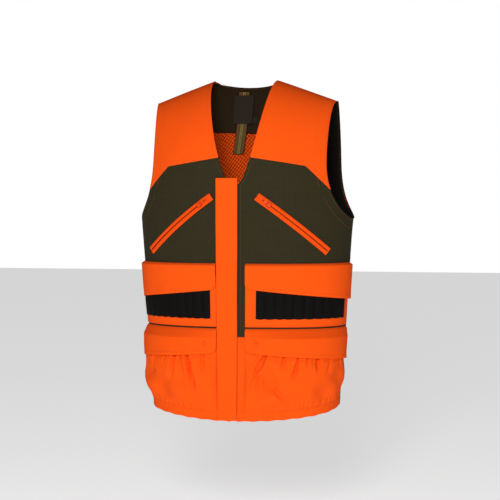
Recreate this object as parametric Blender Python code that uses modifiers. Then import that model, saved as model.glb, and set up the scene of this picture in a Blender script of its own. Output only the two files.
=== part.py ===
"""Blaze orange hunting vest: cloth panels laid on one torso form, with working zips, flaps and fronts.

Metres, +Z up. The front faces -Y and +X is the wearer's left. The origin lies midway between the two
shoulder seams' neck ends. A spot on the cloth is given by its girth, the distance round the body from
the centre front, its height, and its lift off the body along the outward normal.
"""

import bisect
from math import acos, asin, copysign, cos, hypot, pi, sin, sqrt

import bmesh
import bpy
from mathutils import Matrix, Vector

# Torso form
CHEST_HALF = 0.231
HEM_HALF = 0.202
FRONT_DEPTH = 0.130
BACK_DEPTH = 0.112
FULLNESS = 2.3
SHOULDER_SLOPE = 0.372
SHOULDER_TOP = -0.008
SHOULDER_SOFT = 0.030
SHOULDER_ROUND = 0.200
NECK_HALF = 0.070
SHOULDER_HALF = 0.199

# Heights
BACK_NECK_DROP = 0.015
FACING_HEIGHT = -0.115
BACK_YOKE_HEIGHT = -0.160
YOKE_HEIGHT = -0.175
YOKE_CORNER_HEIGHT = -0.193
YOKE_ARM_HEIGHT = -0.243
NECKLINE_HEIGHT = -0.231
NECKLINE_BOW = 0.60
ARMPIT_HEIGHT = -0.305
FLAP_TOP = -0.403
LOOP_FLAP_LOW = -0.450
LOOP_FLAP_LOW_OUTER = -0.478
LOOP_POCKET_LOW = -0.533
CARGO_FLAP_TOP = -0.541
CARGO_FLAP_LOW = -0.586
CARGO_FLAP_LOW_OUTER = -0.605
SKIRT_TOP = -0.555
CARGO_MOUTH = -0.557
HEM_HEIGHT = -0.733
HEM_RISE = 0.024
GAME_POUCH_TOP = -0.462

# Girths on the front, from the zip's centre line
FRONT_EDGE = 0.008
YOKE_CORNER_GIRTH = 0.151
POCKET_STARTS = {1: 0.026, -1: 0.0405}
POCKET_END = 0.287
WINDOW_STARTS = {1: 0.049, -1: 0.053}
WINDOW_END = 0.264
STORM_FLAP_EDGE = -0.0385
STORM_FLAP_SEAM = 0.0075
STORM_FLAP_TOP = -0.219
SIDE_PANEL = 0.050
ARMHOLE_FACING = 0.026
COLUMNS = 16
V_GIRTH = 0.05
LINING_SHORT = 0.02
LINING_INSET = 0.012
SLIDER_LIFT = 0.0021
REAR_SLIDER_SHARE = 0.06

# Cloth and gaps
CLOTH = 0.0014
LINING_LIFT = -0.0016
LINING_CLOTH = 0.001
OUTER_LIFT = 0.0016
POCKET_LIFT = 0.0040
LOOP_BULGE = 0.0034
LOOPS = 10
LOOP_FLAP_LIFT = 0.0098
CARGO_BULGE = 0.018
GAME_BULGE = 0.022
STORM_FLAP_LIFT = 0.0068
TRIM = 0.0008
FACING_GAP = 0.004

# Zips
TAPE_WIDTH = 0.017
CHEST_ZIP_START = (0.049, -0.2575)
CHEST_ZIP_MIDDLE = (0.127, -0.3155)
CHEST_ZIP_END = (0.204, -0.3745)
CHEST_ZIP_LIFT = 0.0056
CHEST_SLIDER_SHARE = 0.16
MAIN_ZIP_TOP = -0.228
MAIN_ZIP_LOW = -0.722
CHAIN_INNER = 0.0012
CHAIN_OUTER = 0.0036
TAPE_OUTER = 0.018
REAR_ZIP_HALF = 0.125
REAR_ZIP_LIFT = 0.0045

POWER = 2 / FULLNESS
SECTION_STEPS = 2000
LAYER_TINY = 1e-7


# ---------------------------------------------------------------- torso form

def section(angle):
    """Unit section of the torso: 0 at the centre front, pi at the centre back."""
    across = copysign(abs(sin(angle)) ** POWER, sin(angle))
    along = -copysign(abs(cos(angle)) ** POWER, cos(angle))
    return across, along


def depth_of(along):
    return along * (FRONT_DEPTH if along < 0 else BACK_DEPTH)


def girth_table():
    angles = [pi * step / SECTION_STEPS for step in range(SECTION_STEPS + 1)]
    girths = [0.0]
    last = Vector((0, -FRONT_DEPTH))
    for angle in angles[1:]:
        across, along = section(angle)
        here = Vector((CHEST_HALF * across, depth_of(along)))
        girths.append(girths[-1] + (here - last).length)
        last = here
    return girths, angles


GIRTHS, ANGLES = girth_table()


def angle_at(girth):
    size = min(abs(girth), GIRTHS[-1])
    index = min(max(bisect.bisect_left(GIRTHS, size), 1), SECTION_STEPS)
    low, high = GIRTHS[index - 1], GIRTHS[index]
    share = (size - low) / (high - low)
    return copysign(ANGLES[index - 1] + share * (ANGLES[index] - ANGLES[index - 1]), girth)


def girth_at(angle):
    place = angle / pi * SECTION_STEPS
    index = min(int(place), SECTION_STEPS - 1)
    return GIRTHS[index] + (place - index) * (GIRTHS[index + 1] - GIRTHS[index])


SIDE = girth_at(pi / 2)
BACK = GIRTHS[-1]


def girth_at_x(x, back=False):
    angle = asin(min(x / CHEST_HALF, 1) ** (1 / POWER))
    return girth_at(pi - angle if back else angle)


def half_width(height):
    taper = (ARMPIT_HEIGHT - height) / (ARMPIT_HEIGHT - HEM_HEIGHT)
    return CHEST_HALF - (CHEST_HALF - HEM_HALF) * max(taper, 0)


def shoulder_line(x):
    """Height of the shoulder ridge under the cloth, highest where the seam meets the neck."""
    return SHOULDER_TOP + SHOULDER_SLOPE * (hypot(NECK_HALF, SHOULDER_SOFT) - hypot(x, SHOULDER_SOFT))


def skin(girth, height, lift=0.0):
    """The point of the torso form at this girth and height, lifted along its outward normal."""
    across, along = section(angle_at(girth))
    width = half_width(height)
    x = width * across
    depth = FRONT_DEPTH if along < 0 else BACK_DEPTH
    inset = 1 - min(max(shoulder_line(x) - height, 0), SHOULDER_ROUND) / SHOULDER_ROUND
    inward = max(1 - inset ** 2, LAYER_TINY)
    y = along * depth * sqrt(inward)
    round_power = inward ** (FULLNESS / 2)
    outer = abs(across) ** FULLNESS - 1
    by_drop = FULLNESS / 2 * round_power / inward * outer * 2 * inset / SHOULDER_ROUND
    ridge_slope = -SHOULDER_SLOPE * x / sqrt(x * x + SHOULDER_SOFT ** 2)
    normal = Vector((
        round_power * FULLNESS * copysign(abs(across) ** (FULLNESS - 1), across) / width
        + by_drop * ridge_slope,
        FULLNESS * copysign(abs(y / depth) ** (FULLNESS - 1), y) / depth,
        -by_drop,
    ))
    return Vector((x, y, height)) + lift * normal.normalized()


def drop_at(girth, height):
    """Distance down the cloth from the shoulder ridge."""
    x = CHEST_HALF * section(angle_at(girth))[0]
    fall = max(shoulder_line(x) - height, 0)
    if fall < SHOULDER_ROUND:
        return SHOULDER_ROUND * acos(1 - fall / SHOULDER_ROUND)
    return SHOULDER_ROUND * (pi / 2 - 1) + fall


def height_at(girth, drop):
    x = CHEST_HALF * section(angle_at(girth))[0]
    if drop < SHOULDER_ROUND * pi / 2:
        return shoulder_line(x) - SHOULDER_ROUND * (1 - cos(drop / SHOULDER_ROUND))
    return shoulder_line(x) - drop + SHOULDER_ROUND * (pi / 2 - 1)


# ---------------------------------------------------------------- pattern lines, as (girth, height)

def mix(a, b, share):
    return a + (b - a) * share


def hem(girth):
    far = abs(girth)
    share = far / SIDE if far < SIDE else (BACK - far) / (BACK - SIDE)
    return HEM_HEIGHT + HEM_RISE * share ** 2


def neckline(height):
    """Girth of the V edge at this height."""
    share = min(max(1 - height / NECKLINE_HEIGHT, 0), 1)
    return mix(FRONT_EDGE, girth_at_x(NECK_HALF), share ** NECKLINE_BOW)


def ridge(x, back=False):
    return girth_at_x(x, back), shoulder_line(x)


def armhole(share, back=False, inset=0.0):
    """The armhole's edge, from the side seam at share 0 to the shoulder at share 1."""
    waist = girth_at_x(0.194 if back else 0.1885, back)
    waist_height = -0.18
    curl = 2 / 2.2
    if share < 0.5:
        turn = share * pi
        girth = mix(waist, SIDE, 1 - sin(turn) ** curl)
        height = mix(waist_height, ARMPIT_HEIGHT, cos(turn) ** curl)
    else:
        up = 2 * share - 1
        girth = mix(waist, girth_at_x(SHOULDER_HALF, back), up ** 2)
        height = height_at(girth, mix(drop_at(waist, waist_height), 0, up))
    if not inset:
        return girth, height
    step = 0.01
    low = armhole(max(share - step, 0), back)
    high = armhole(min(share + step, 1), back)
    along = Vector((high[0] - low[0], drop_at(*low) - drop_at(*high))).normalized()
    side = 1 if back else -1
    girth += side * inset * along.y
    drop = drop_at(*armhole(share, back)) + inset * abs(along.x)
    return girth, height_at(girth, drop)


def share_at_height(height, back=False):
    """Where the armhole's lower curve passes this height."""
    low, high = 0.0, 0.5
    for _ in range(40):
        middle = (low + high) / 2
        if armhole(middle, back)[1] < height:
            low = middle
        else:
            high = middle
    return low


def share_at_girth(girth):
    """Where the back armhole's lower curve passes this girth."""
    low, high = 0.0, 0.5
    for _ in range(40):
        middle = (low + high) / 2
        if armhole(middle, True)[0] < girth:
            low = middle
        else:
            high = middle
    return low


YOKE_SHARE = share_at_height(YOKE_ARM_HEIGHT)
BACK_YOKE_SHARE = 0.55
SIDE_PANEL_SHARE = share_at_girth(SIDE + SIDE_PANEL)


def yoke_seam(share):
    start = (neckline(YOKE_HEIGHT), YOKE_HEIGHT)
    corner = (YOKE_CORNER_GIRTH, YOKE_CORNER_HEIGHT)
    end = armhole(YOKE_SHARE)
    bend = 2 / 3
    if share < bend:
        return tuple(mix(a, b, share / bend) for a, b in zip(start, corner))
    return tuple(mix(a, b, (share - bend) / (1 - bend)) for a, b in zip(corner, end))


def patch(bottom, top, inner, outer):
    """A Coons patch between four edges, worked in girth and distance down from the shoulder."""
    def flat(spot):
        return Vector((spot[0], drop_at(*spot)))

    def at(u, w):
        spot = (1 - w) * flat(bottom(u)) + w * flat(top(u)) + (1 - u) * flat(inner(w)) + u * flat(outer(w))
        spot -= (1 - u) * ((1 - w) * flat(bottom(0)) + w * flat(top(0)))
        spot -= u * ((1 - w) * flat(bottom(1)) + w * flat(top(1)))
        return spot.x, height_at(spot.x, spot.y)
    return at


def between(start, stop, low, high):
    """Spots between two girths and two heights; a height may be a function of the girth."""
    def level(value, girth):
        return value(girth) if callable(value) else value

    def at(u, w):
        girth = mix(start, stop, u)
        return girth, mix(level(low, girth), level(high, girth), w)
    return at


def stacked(lower, upper, share):
    def at(u, w):
        return lower(u, w / share) if w < share else upper(u, (w - share) / (1 - share))
    return at


def even(count):
    return [step / count for step in range(count + 1)]


def body_columns(start, stop):
    """Column shares that keep to the body's own columns, so that layers stay parallel."""
    pitch = (SIDE - FRONT_EDGE) / COLUMNS
    inside = [FRONT_EDGE + pitch * step for step in range(COLUMNS + 1)]
    inside = [girth for girth in inside if start + pitch / 3 < girth < stop - pitch / 3]
    return [0.0] + [(girth - start) / (stop - start) for girth in inside] + [1.0]


# ---------------------------------------------------------------- building

def clear_scene():
    for obj in list(bpy.data.objects):
        bpy.data.objects.remove(obj, do_unlink=True)


def collection(name):
    made = bpy.data.collections.new(name)
    bpy.context.scene.collection.children.link(made)
    return made


def material(name, colour, roughness, metallic=0.0):
    made = bpy.data.materials.new(name)
    made.use_nodes = True
    shader = made.node_tree.nodes["Principled BSDF"]
    shader.inputs["Base Color"].default_value = (*colour, 1)
    shader.inputs["Roughness"].default_value = roughness
    shader.inputs["Metallic"].default_value = metallic
    return made


clear_scene()
VEST = collection("blaze_orange_vest")
CUTTERS = collection("cutters")
ORANGE = material("orange_cloth", (1.0, 0.107, 0.007), 0.85)
OLIVE = material("olive_ripstop", (0.032, 0.025, 0.011), 0.8)
BLACK = material("black_cloth", (0.005, 0.004, 0.003), 0.9)
NET = material("dark_net", (0.02, 0.012, 0.008), 0.9)
RIBBON = material("striped_ribbon", (0.115, 0.078, 0.021), 0.7)
METAL = material("dark_metal", (0.08, 0.06, 0.05), 0.35, 1.0)
LACQUER = material("orange_lacquer", (0.95, 0.10, 0.014), 0.3)


def joint(name, place, parent=None):
    """An empty on a joint's axis, which its moving pieces hang from."""
    empty = bpy.data.objects.new(name, None)
    VEST.objects.link(empty)
    empty.parent = parent
    empty.location = place - (parent.matrix_world.translation if parent else Vector())
    bpy.context.view_layer.update()
    return empty


def finished(obj, look, parent=None):
    obj.data.materials.clear()
    obj.data.materials.append(look)
    if parent:
        obj.parent = parent
        obj.location = obj.location - parent.matrix_world.translation
    return obj


def from_bmesh(name, bm, look, parent=None):
    mesh = bpy.data.meshes.new(name)
    bm.to_mesh(mesh)
    bm.free()
    obj = bpy.data.objects.new(name, mesh)
    VEST.objects.link(obj)
    return finished(obj, look, parent)


def cloth_of(obj, thick):
    solid = obj.modifiers.new("cloth", "SOLIDIFY")
    solid.thickness = thick
    solid.offset = 1
    solid.use_even_offset = True
    return obj


def panel(name, spot, columns, rows, lift, look, parent=None, side=1, thick=CLOTH, hole=None, mirror=False,
          trim=0.003):
    """A cloth panel: a grid laid on the torso, with spot(u, w) giving each vertex's girth and height."""
    bm = bmesh.new()
    bmesh.ops.create_grid(bm, x_segments=len(columns) - 1, y_segments=len(rows) - 1, size=1)

    def shares(place):
        return (
            columns[round((place.x + 1) / 2 * (len(columns) - 1))],
            rows[round((place.y + 1) / 2 * (len(rows) - 1))],
        )
    if hole:
        inside = [f for f in bm.faces if all(hole(*shares(v.co)) for v in f.verts)]
        bmesh.ops.delete(bm, geom=inside, context="FACES")
    right_trim = 0 if mirror else trim
    for vert in bm.verts:
        u, w = shares(vert.co)
        rise = lift(u, w) if callable(lift) else lift
        vert.co = skin(*spot(mix(trim, 1 - right_trim, u), mix(trim, 1 - trim, w)), rise)
        vert.co.x *= side
    if side < 0:
        bmesh.ops.reverse_faces(bm, faces=bm.faces)
    obj = from_bmesh(name, bm, look, parent)
    if mirror:
        for vert in obj.data.vertices:
            vert.co.x = 0 if vert.co.x < 1e-5 else vert.co.x
        half = obj.modifiers.new("mirror", "MIRROR")
        half.merge_threshold = 0.0001
    return cloth_of(obj, thick)


def outline(name, loops, thick, frame, look, parent=None, hidden=False):
    """A flat plate with its outline in the frame's XY plane. Later loops are its holes."""
    curve = bpy.data.curves.new(name, "CURVE")
    curve.dimensions = "2D"
    curve.fill_mode = "BOTH"
    curve.extrude = thick / 2
    for loop in loops:
        spline = curve.splines.new("POLY")
        spline.points.add(len(loop) - 1)
        for point, (x, y) in zip(spline.points, loop):
            point.co = (x, y, 0, 1)
        spline.use_cyclic_u = True
    source = bpy.data.objects.new(name, curve)
    VEST.objects.link(source)
    bpy.context.view_layer.update()
    graph = bpy.context.evaluated_depsgraph_get()
    mesh = bpy.data.meshes.new_from_object(source.evaluated_get(graph))
    bpy.data.objects.remove(source)
    bm = bmesh.new()
    bm.from_mesh(mesh)
    bmesh.ops.remove_doubles(bm, verts=bm.verts, dist=1e-6)
    bm.transform(frame)
    return helper(name, bm) if hidden else from_bmesh(name, bm, look, parent)


def rounded(width, length, radius, corner_steps=3, centre=(0, 0)):
    """A rectangle with round corners, as points."""
    points = []
    for turn, (x, y) in enumerate(((1, 1), (-1, 1), (-1, -1), (1, -1))):
        for step in range(corner_steps + 1):
            angle = (turn + step / corner_steps) * pi / 2
            points.append((
                centre[0] + x * (width / 2 - radius) + radius * cos(angle),
                centre[1] + y * (length / 2 - radius) + radius * sin(angle),
            ))
    return points


def helper(name, bm):
    mesh = bpy.data.meshes.new(name)
    bm.to_mesh(mesh)
    bm.free()
    obj = bpy.data.objects.new(name, mesh)
    CUTTERS.objects.link(obj)
    obj.hide_render = True
    obj.display_type = "WIRE"
    return obj


def block(size, centre, frame):
    bm = bmesh.new()
    bmesh.ops.create_cube(bm, size=1, matrix=frame @ Matrix.Translation(centre) @ Matrix.Diagonal((*size, 1)))
    return bm


def joined(obj, others):
    for other in others:
        union = obj.modifiers.new("join", "BOOLEAN")
        union.operation = "UNION"
        union.object = other
        union.solver = "MANIFOLD"
    return obj


def disc(name, radius, thick, place, outward, look, parent):
    """A round fastener standing on the cloth at place."""
    bm = bmesh.new()
    turn = outward.to_track_quat("Z", "Y").to_matrix().to_4x4()
    bmesh.ops.create_cone(
        bm, cap_ends=True, segments=16, radius1=radius, radius2=radius * 0.8, depth=thick,
        matrix=Matrix.Translation(place + outward * thick / 2) @ turn,
    )
    return from_bmesh(name, bm, look, parent)


# ---------------------------------------------------------------- zip hardware

SLIDER_WIDTH = 0.0085
SLIDER_LENGTH = 0.0105
SLIDER_PLATE = 0.0012
BAIL_BAR = 0.0008
BAIL_ROOM = 0.0019
BAIL_LENGTH = 0.0084
PULLER_THICK = 0.0008
PULLER_WIDTH = 0.0048
PULLER_LENGTH = 0.022
PULLER_BAR = 0.001


def slider_pieces(name, frame, look, parent, puller_parent, puller_up):
    """A slider and its puller, in a frame with +Y up the zip, +Z outward, 0 at the plate's back."""
    plate = outline(name, [rounded(SLIDER_WIDTH, SLIDER_LENGTH, 0.0018)], SLIDER_PLATE,
                    frame @ Matrix.Translation((0, 0, SLIDER_PLATE / 2)), look, parent)
    upright = frame @ Matrix(((0, 0, 1, 0), (1, 0, 0, 0), (0, 1, 0, 0), (0, 0, 0, 1)))
    low = SLIDER_PLATE / 2
    room = SLIDER_PLATE + BAIL_ROOM
    end = BAIL_LENGTH / 2
    arch = [
        (end, low), (end, room), (end - BAIL_BAR, room + BAIL_BAR), (BAIL_BAR - end, room + BAIL_BAR),
        (-end, room), (-end, low), (BAIL_BAR - end, low), (BAIL_BAR - end, room), (end - BAIL_BAR, room),
        (end - BAIL_BAR, low),
    ]
    bail = outline(name + "_bail", [arch], BAIL_BAR * 1.5, upright, look, hidden=True)
    joined(plate, [bail])
    turn = 1 if puller_up else -1
    centre = PULLER_LENGTH / 2 - PULLER_BAR / 2
    eye_length = BAIL_LENGTH / 2 + 0.001
    tag = rounded(PULLER_WIDTH, PULLER_LENGTH, 0.0012, centre=(0, turn * centre))
    eye = rounded(BAIL_BAR * 1.5 + 0.0012, eye_length, 0.0004, 1,
                  centre=(0, turn * (PULLER_BAR / 2 + eye_length / 2)))
    height = SLIDER_PLATE + BAIL_ROOM / 2
    outline(name.replace("slider", "puller"), [tag, eye[::-1]], PULLER_THICK,
            frame @ Matrix.Translation((0, 0, height)), look, puller_parent)
    return plate


def frame_of(place, up, outward):
    """A matrix at place with +Y up the zip and +Z outward."""
    z = outward.normalized()
    y = (up - up.dot(z) * z).normalized()
    x = y.cross(z)
    return Matrix.Translation(place) @ Matrix((x, y, z)).transposed().to_4x4()


def puller_axis(frame):
    return frame @ Vector((0, 0, SLIDER_PLATE + BAIL_ROOM / 2))


def circle_through(a, b, c):
    """Centre and unit axis of the circle through three points."""
    first, second = b - a, c - a
    across = first.cross(second)
    centre = a + (second.length_squared * across.cross(first) + first.length_squared * second.cross(across)
                  ) / (2 * across.length_squared)
    return centre, across.normalized()


def arc_zip(name, ends, middle, steps, width, look, parent, ridge_height=0.0008):
    """A zip tape bent round one circle, with a raised coil along its middle. Returns the circle."""
    centre, axis = circle_through(ends[0], middle, ends[1])
    start = ends[0] - centre
    sweep = start.angle(ends[1] - centre)
    if axis.dot(start.cross(ends[1] - centre)) < 0:
        axis.negate()
    profile = [-width / 2, -0.0016, -0.0012, 0.0012, 0.0016, width / 2]
    heights = [0.0, 0.0, ridge_height, ridge_height, 0.0, 0.0]
    bm = bmesh.new()
    bmesh.ops.create_grid(bm, x_segments=len(profile) - 1, y_segments=steps, size=1)
    for vert in bm.verts:
        column = round((vert.co.x + 1) / 2 * (len(profile) - 1))
        share = (vert.co.y + 1) / 2
        arm = Matrix.Rotation(sweep * share, 3, axis) @ start
        vert.co = centre + arm * (1 + heights[column] / arm.length) + axis * profile[column]
    bmesh.ops.recalc_face_normals(bm, faces=bm.faces)
    outward = (ends[0] + ends[1]) / 2 - centre
    if bm.faces[:][0].normal.dot(outward) < 0:
        bmesh.ops.reverse_faces(bm, faces=bm.faces)
    tape = from_bmesh(name, bm, look, parent)
    cloth_of(tape, 0.0009)
    return centre, axis, sweep, start


# ---------------------------------------------------------------- the back

def back_half(name, spot, rows, lift, look, columns=None, thick=CLOTH, trim=0.003):
    panel(name, spot, columns or even(10), rows, lift, look, thick=thick, mirror=True, trim=trim)


def back_top(share):
    """Shoulder ridge then back neckline, from the armhole to the centre back."""
    corner = 0.6
    if share < corner:
        return ridge(mix(SHOULDER_HALF, NECK_HALF, share / corner), True)
    x = NECK_HALF * (1 - (share - corner) / (1 - corner))
    return girth_at_x(x, True), mix(-BACK_NECK_DROP, SHOULDER_TOP, (x / NECK_HALF) ** 2)


def line_across(start, height):
    """A level edge from a spot near the side to the centre back."""
    def at(share):
        return mix(start[0], BACK, share), mix(start[1], height, share)
    return at


def up_centre_back(low, high):
    def at(share):
        return BACK, height_at(BACK, mix(drop_at(BACK, low), drop_at(BACK, high), share))
    return at


def along_armhole(start, stop, back=False, inset=0.0):
    def at(share):
        return armhole(mix(start, stop, share), back, inset)
    return at


def back_yoke():
    arm = along_armhole(BACK_YOKE_SHARE, 1, True)
    bottom = line_across(arm(0), BACK_YOKE_HEIGHT)
    spot = patch(bottom, back_top, arm, up_centre_back(BACK_YOKE_HEIGHT, -BACK_NECK_DROP))
    back_half("back_yoke", spot, even(8), OUTER_LIFT, ORANGE)


def back_panel():
    edge = SIDE + SIDE_PANEL
    arm = along_armhole(SIDE_PANEL_SHARE, BACK_YOKE_SHARE, True)
    waist = arm(0)[1]
    upper = patch(line_across(arm(0), waist), line_across(arm(1), BACK_YOKE_HEIGHT), arm,
                  up_centre_back(waist, BACK_YOKE_HEIGHT))
    lower = between(edge, BACK, hem, waist)
    back_half("back_panel", stacked(lower, upper, 0.6), [0, 0.3, 0.6, 0.7, 0.8, 0.9, 1.0], OUTER_LIFT, ORANGE,
              columns=even(12))


def side_panel(side_name, side):
    def top(girth):
        return armhole(share_at_girth(girth), True)[1]
    panel("side_panel_" + side_name, between(SIDE + TRIM, SIDE + SIDE_PANEL, hem, top), even(4), even(3),
          OUTER_LIFT, OLIVE, side=side, trim=0.012)


def armhole_facing(side_name, side, back, parent=None):
    def spot(u, w):
        inset = ARMHOLE_FACING * (u if back else 1 - u)
        return armhole(w, back, inset)
    which = "back_" if back else "front_"
    panel(which + "armhole_facing_" + side_name, spot, even(2), even(14), LINING_LIFT, BLACK, parent, side,
          LINING_CLOTH, trim=0.004)


def lining_hem(girth):
    return hem(girth) + LINING_SHORT


def inner_back():
    """The dark facing below the back neck, and the net lining under it."""
    inset = ARMHOLE_FACING + FACING_GAP
    split = 0.66
    arm = along_armhole(split, 1, True, inset)

    def top(share):
        corner = 0.6
        start = arm(1)
        if share < corner:
            x = mix(CHEST_HALF * section(angle_at(start[0]))[0], NECK_HALF, share / corner)
            return ridge(x, True)
        return back_top(share)
    upper = patch(line_across(arm(0), FACING_HEIGHT), top, arm,
                  up_centre_back(FACING_HEIGHT, -BACK_NECK_DROP))
    back_half("back_neck_facing", upper, even(8), LINING_LIFT, OLIVE, thick=LINING_CLOTH)
    arm_low = along_armhole(0, split, True, inset)
    waist = arm_low(0)[1]
    middle = patch(line_across(arm_low(0), waist), line_across(arm_low(1), FACING_HEIGHT), arm_low,
                   up_centre_back(waist, FACING_HEIGHT))
    lower = between(SIDE, BACK, lining_hem, waist)
    back_half("back_net_lining", stacked(lower, middle, 0.6), [0, 0.3, 0.6, 0.7, 0.8, 0.9, 1.0],
              LINING_LIFT, NET, columns=even(14), thick=LINING_CLOTH)


def game_pouch():
    """The rear bag, open along its top edge behind a zip."""
    start = SIDE + SIDE_PANEL + 0.012

    def rise(u, w):
        side_share = min(u / 0.12, 1) ** 0.6
        return POCKET_LIFT + GAME_BULGE * side_share * min(w / 0.25, 1) ** 0.7

    spot = between(start, BACK, lambda girth: hem(girth) + 0.002, GAME_POUCH_TOP)
    back_half("game_pouch", spot, [0, 0.06, 0.15, 0.25, 0.6, 1.0], rise, OLIVE,
              columns=[0, 0.03, 0.07, 0.12, 0.25, 0.4, 0.55, 0.7, 0.85, 1.0])


def slider_frame(centre, axis, arm):
    """Where a slider sits on a curved tape, at the end of an arm from the curve's centre."""
    outward = arm.normalized()
    return frame_of(centre + arm + outward * SLIDER_LIFT, outward.cross(axis), outward)


def rear_zip():
    height = GAME_POUCH_TOP + 0.016
    left_end = skin(BACK - REAR_ZIP_HALF, height, REAR_ZIP_LIFT)
    ends = [left_end, left_end * Vector((-1, 1, 1))]
    middle = skin(BACK, height, REAR_ZIP_LIFT)
    centre, axis, sweep, start = arc_zip("rear_zip_tape", ends, middle, 14, TAPE_WIDTH, OLIVE, None)
    frame = slider_frame(centre, axis, Matrix.Rotation(sweep * REAR_SLIDER_SHARE, 3, axis) @ start)
    run = joint("rear_zip_joint", centre)
    hinge = joint("rear_puller_joint", puller_axis(frame), run)
    slider_pieces("rear_zip_slider", frame, METAL, run, hinge, puller_up=False)


STRAP_TOP = -BACK_NECK_DROP - 0.004
STRAP_LOW = -0.160
STRAP_CENTRE = -0.017
STRAP_LEAN = 0.18
STRAP_LIFT = LINING_LIFT - 0.0070
STRAP_WIDTH = 0.024
STRAP_THICK = 0.0012
LABEL_THICK = 0.0008
LABEL_TOP = -0.026
LABEL_LOW = -0.090
LABEL_WIDTH = 0.044
SIZE_TAG_TOP = -0.078
SIZE_TAG_LOW = -0.091
SIZE_TAG_WIDTH = 0.011
SIZE_TAG_CENTRE = 0.0106


def ribbon(name, centre, width, high, low, lift, thick, look, parent):
    """A strip of ribbon that hangs inside the back, leaning a little to the wearer's right."""
    bm = bmesh.new()
    bmesh.ops.create_grid(bm, x_segments=1, y_segments=8, size=1)
    for vert in bm.verts:
        height = mix(low, high, (vert.co.y + 1) / 2)
        spot = skin(BACK, height, lift)
        across = centre + STRAP_LEAN * (height - STRAP_TOP)
        vert.co = Vector((across + vert.co.x * width / 2, spot.y, spot.z))
    bmesh.ops.recalc_face_normals(bm, faces=bm.faces)
    if bm.faces[:][0].normal.y < 0:
        bmesh.ops.reverse_faces(bm, faces=bm.faces)
    return cloth_of(from_bmesh(name, bm, look, parent), thick)


def hanger():
    """The ribbon loop that hangs the vest up, with the neck label over it and a size tag beside it."""
    top = skin(BACK, STRAP_TOP, STRAP_LIFT)
    pivot = joint("hanger_joint", Vector((STRAP_CENTRE, top.y, top.z)))
    ribbon("hanger_strap", STRAP_CENTRE, STRAP_WIDTH, top.z, STRAP_LOW, STRAP_LIFT, STRAP_THICK, RIBBON, pivot)
    ribbon("neck_label", STRAP_CENTRE, LABEL_WIDTH, LABEL_TOP, LABEL_LOW, STRAP_LIFT - 0.0014, LABEL_THICK,
           BLACK, pivot)
    ribbon("size_tag", SIZE_TAG_CENTRE, SIZE_TAG_WIDTH, SIZE_TAG_TOP, SIZE_TAG_LOW, LINING_LIFT - 0.0034,
           LABEL_THICK, BLACK, None)


# ---------------------------------------------------------------- the fronts

def centre_edge(share):
    """The chest panel's inner edge: up the centre front, then the lower part of the V."""
    height = mix(ARMPIT_HEIGHT, YOKE_HEIGHT, share)
    return neckline(height), height


def yoke_edge(share):
    """The yoke's edge along the V, from its seam up to the shoulder ridge."""
    if share == 1:
        return ridge(NECK_HALF)
    height = height_at(V_GIRTH, mix(drop_at(V_GIRTH, YOKE_HEIGHT), drop_at(V_GIRTH, 0.0), share))
    return neckline(height), height


def front_panels(side_name, side, parent):
    yoke = patch(
        yoke_seam,
        lambda share: ridge(mix(NECK_HALF, SHOULDER_HALF, share)),
        yoke_edge,
        along_armhole(YOKE_SHARE, 1),
    )
    panel("front_yoke_" + side_name, yoke, even(9), even(9), OUTER_LIFT, ORANGE, parent, side)
    chest = patch(
        lambda share: (mix(FRONT_EDGE, SIDE, share), ARMPIT_HEIGHT),
        yoke_seam,
        centre_edge,
        along_armhole(0, YOKE_SHARE),
    )
    lower = between(FRONT_EDGE, SIDE, SKIRT_TOP, ARMPIT_HEIGHT)
    panel("front_body_" + side_name, stacked(lower, chest, 0.5), even(COLUMNS),
          [0, 0.25, 0.5, 0.6, 0.7, 0.8, 0.9, 1.0], OUTER_LIFT, OLIVE, parent, side)
    panel("front_skirt_" + side_name, between(FRONT_EDGE, SIDE, hem, SKIRT_TOP), even(COLUMNS), even(2),
          OUTER_LIFT, ORANGE, parent, side)


def front_lining(side_name, side, parent):
    inset = ARMHOLE_FACING + FACING_GAP
    edge = TAPE_OUTER + 0.002
    arm = along_armhole(0, 1, False, inset)
    waist = arm(0)[1]
    tip = CHEST_HALF * section(angle_at(arm(1)[0]))[0]
    neck = NECK_HALF + LINING_INSET

    def inner(share):
        drop = mix(drop_at(V_GIRTH, waist), 0, share)
        height = height_at(V_GIRTH, drop) if share < 1 else shoulder_line(neck)
        return (ridge(neck) if share == 1 else (max(neckline(height) + LINING_INSET, edge), height))
    upper = patch(
        lambda share: (mix(inner(0)[0], SIDE, share), mix(inner(0)[1], waist, share)),
        lambda share: ridge(mix(neck, tip, share)),
        inner,
        arm,
    )
    lower = between(edge, SIDE, lining_hem, waist)
    panel("front_lining_" + side_name, stacked(lower, upper, 0.4), even(COLUMNS),
          [0, 0.2, 0.4, 0.48, 0.56, 0.64, 0.72, 0.8, 0.87, 0.94, 1.0], LINING_LIFT, NET, parent, side,
          LINING_CLOTH)


FRAME_LOW_BAR = 0.0165
FRAME_TOP_BAR = 0.020
BAND_GAP = 0.002


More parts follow.
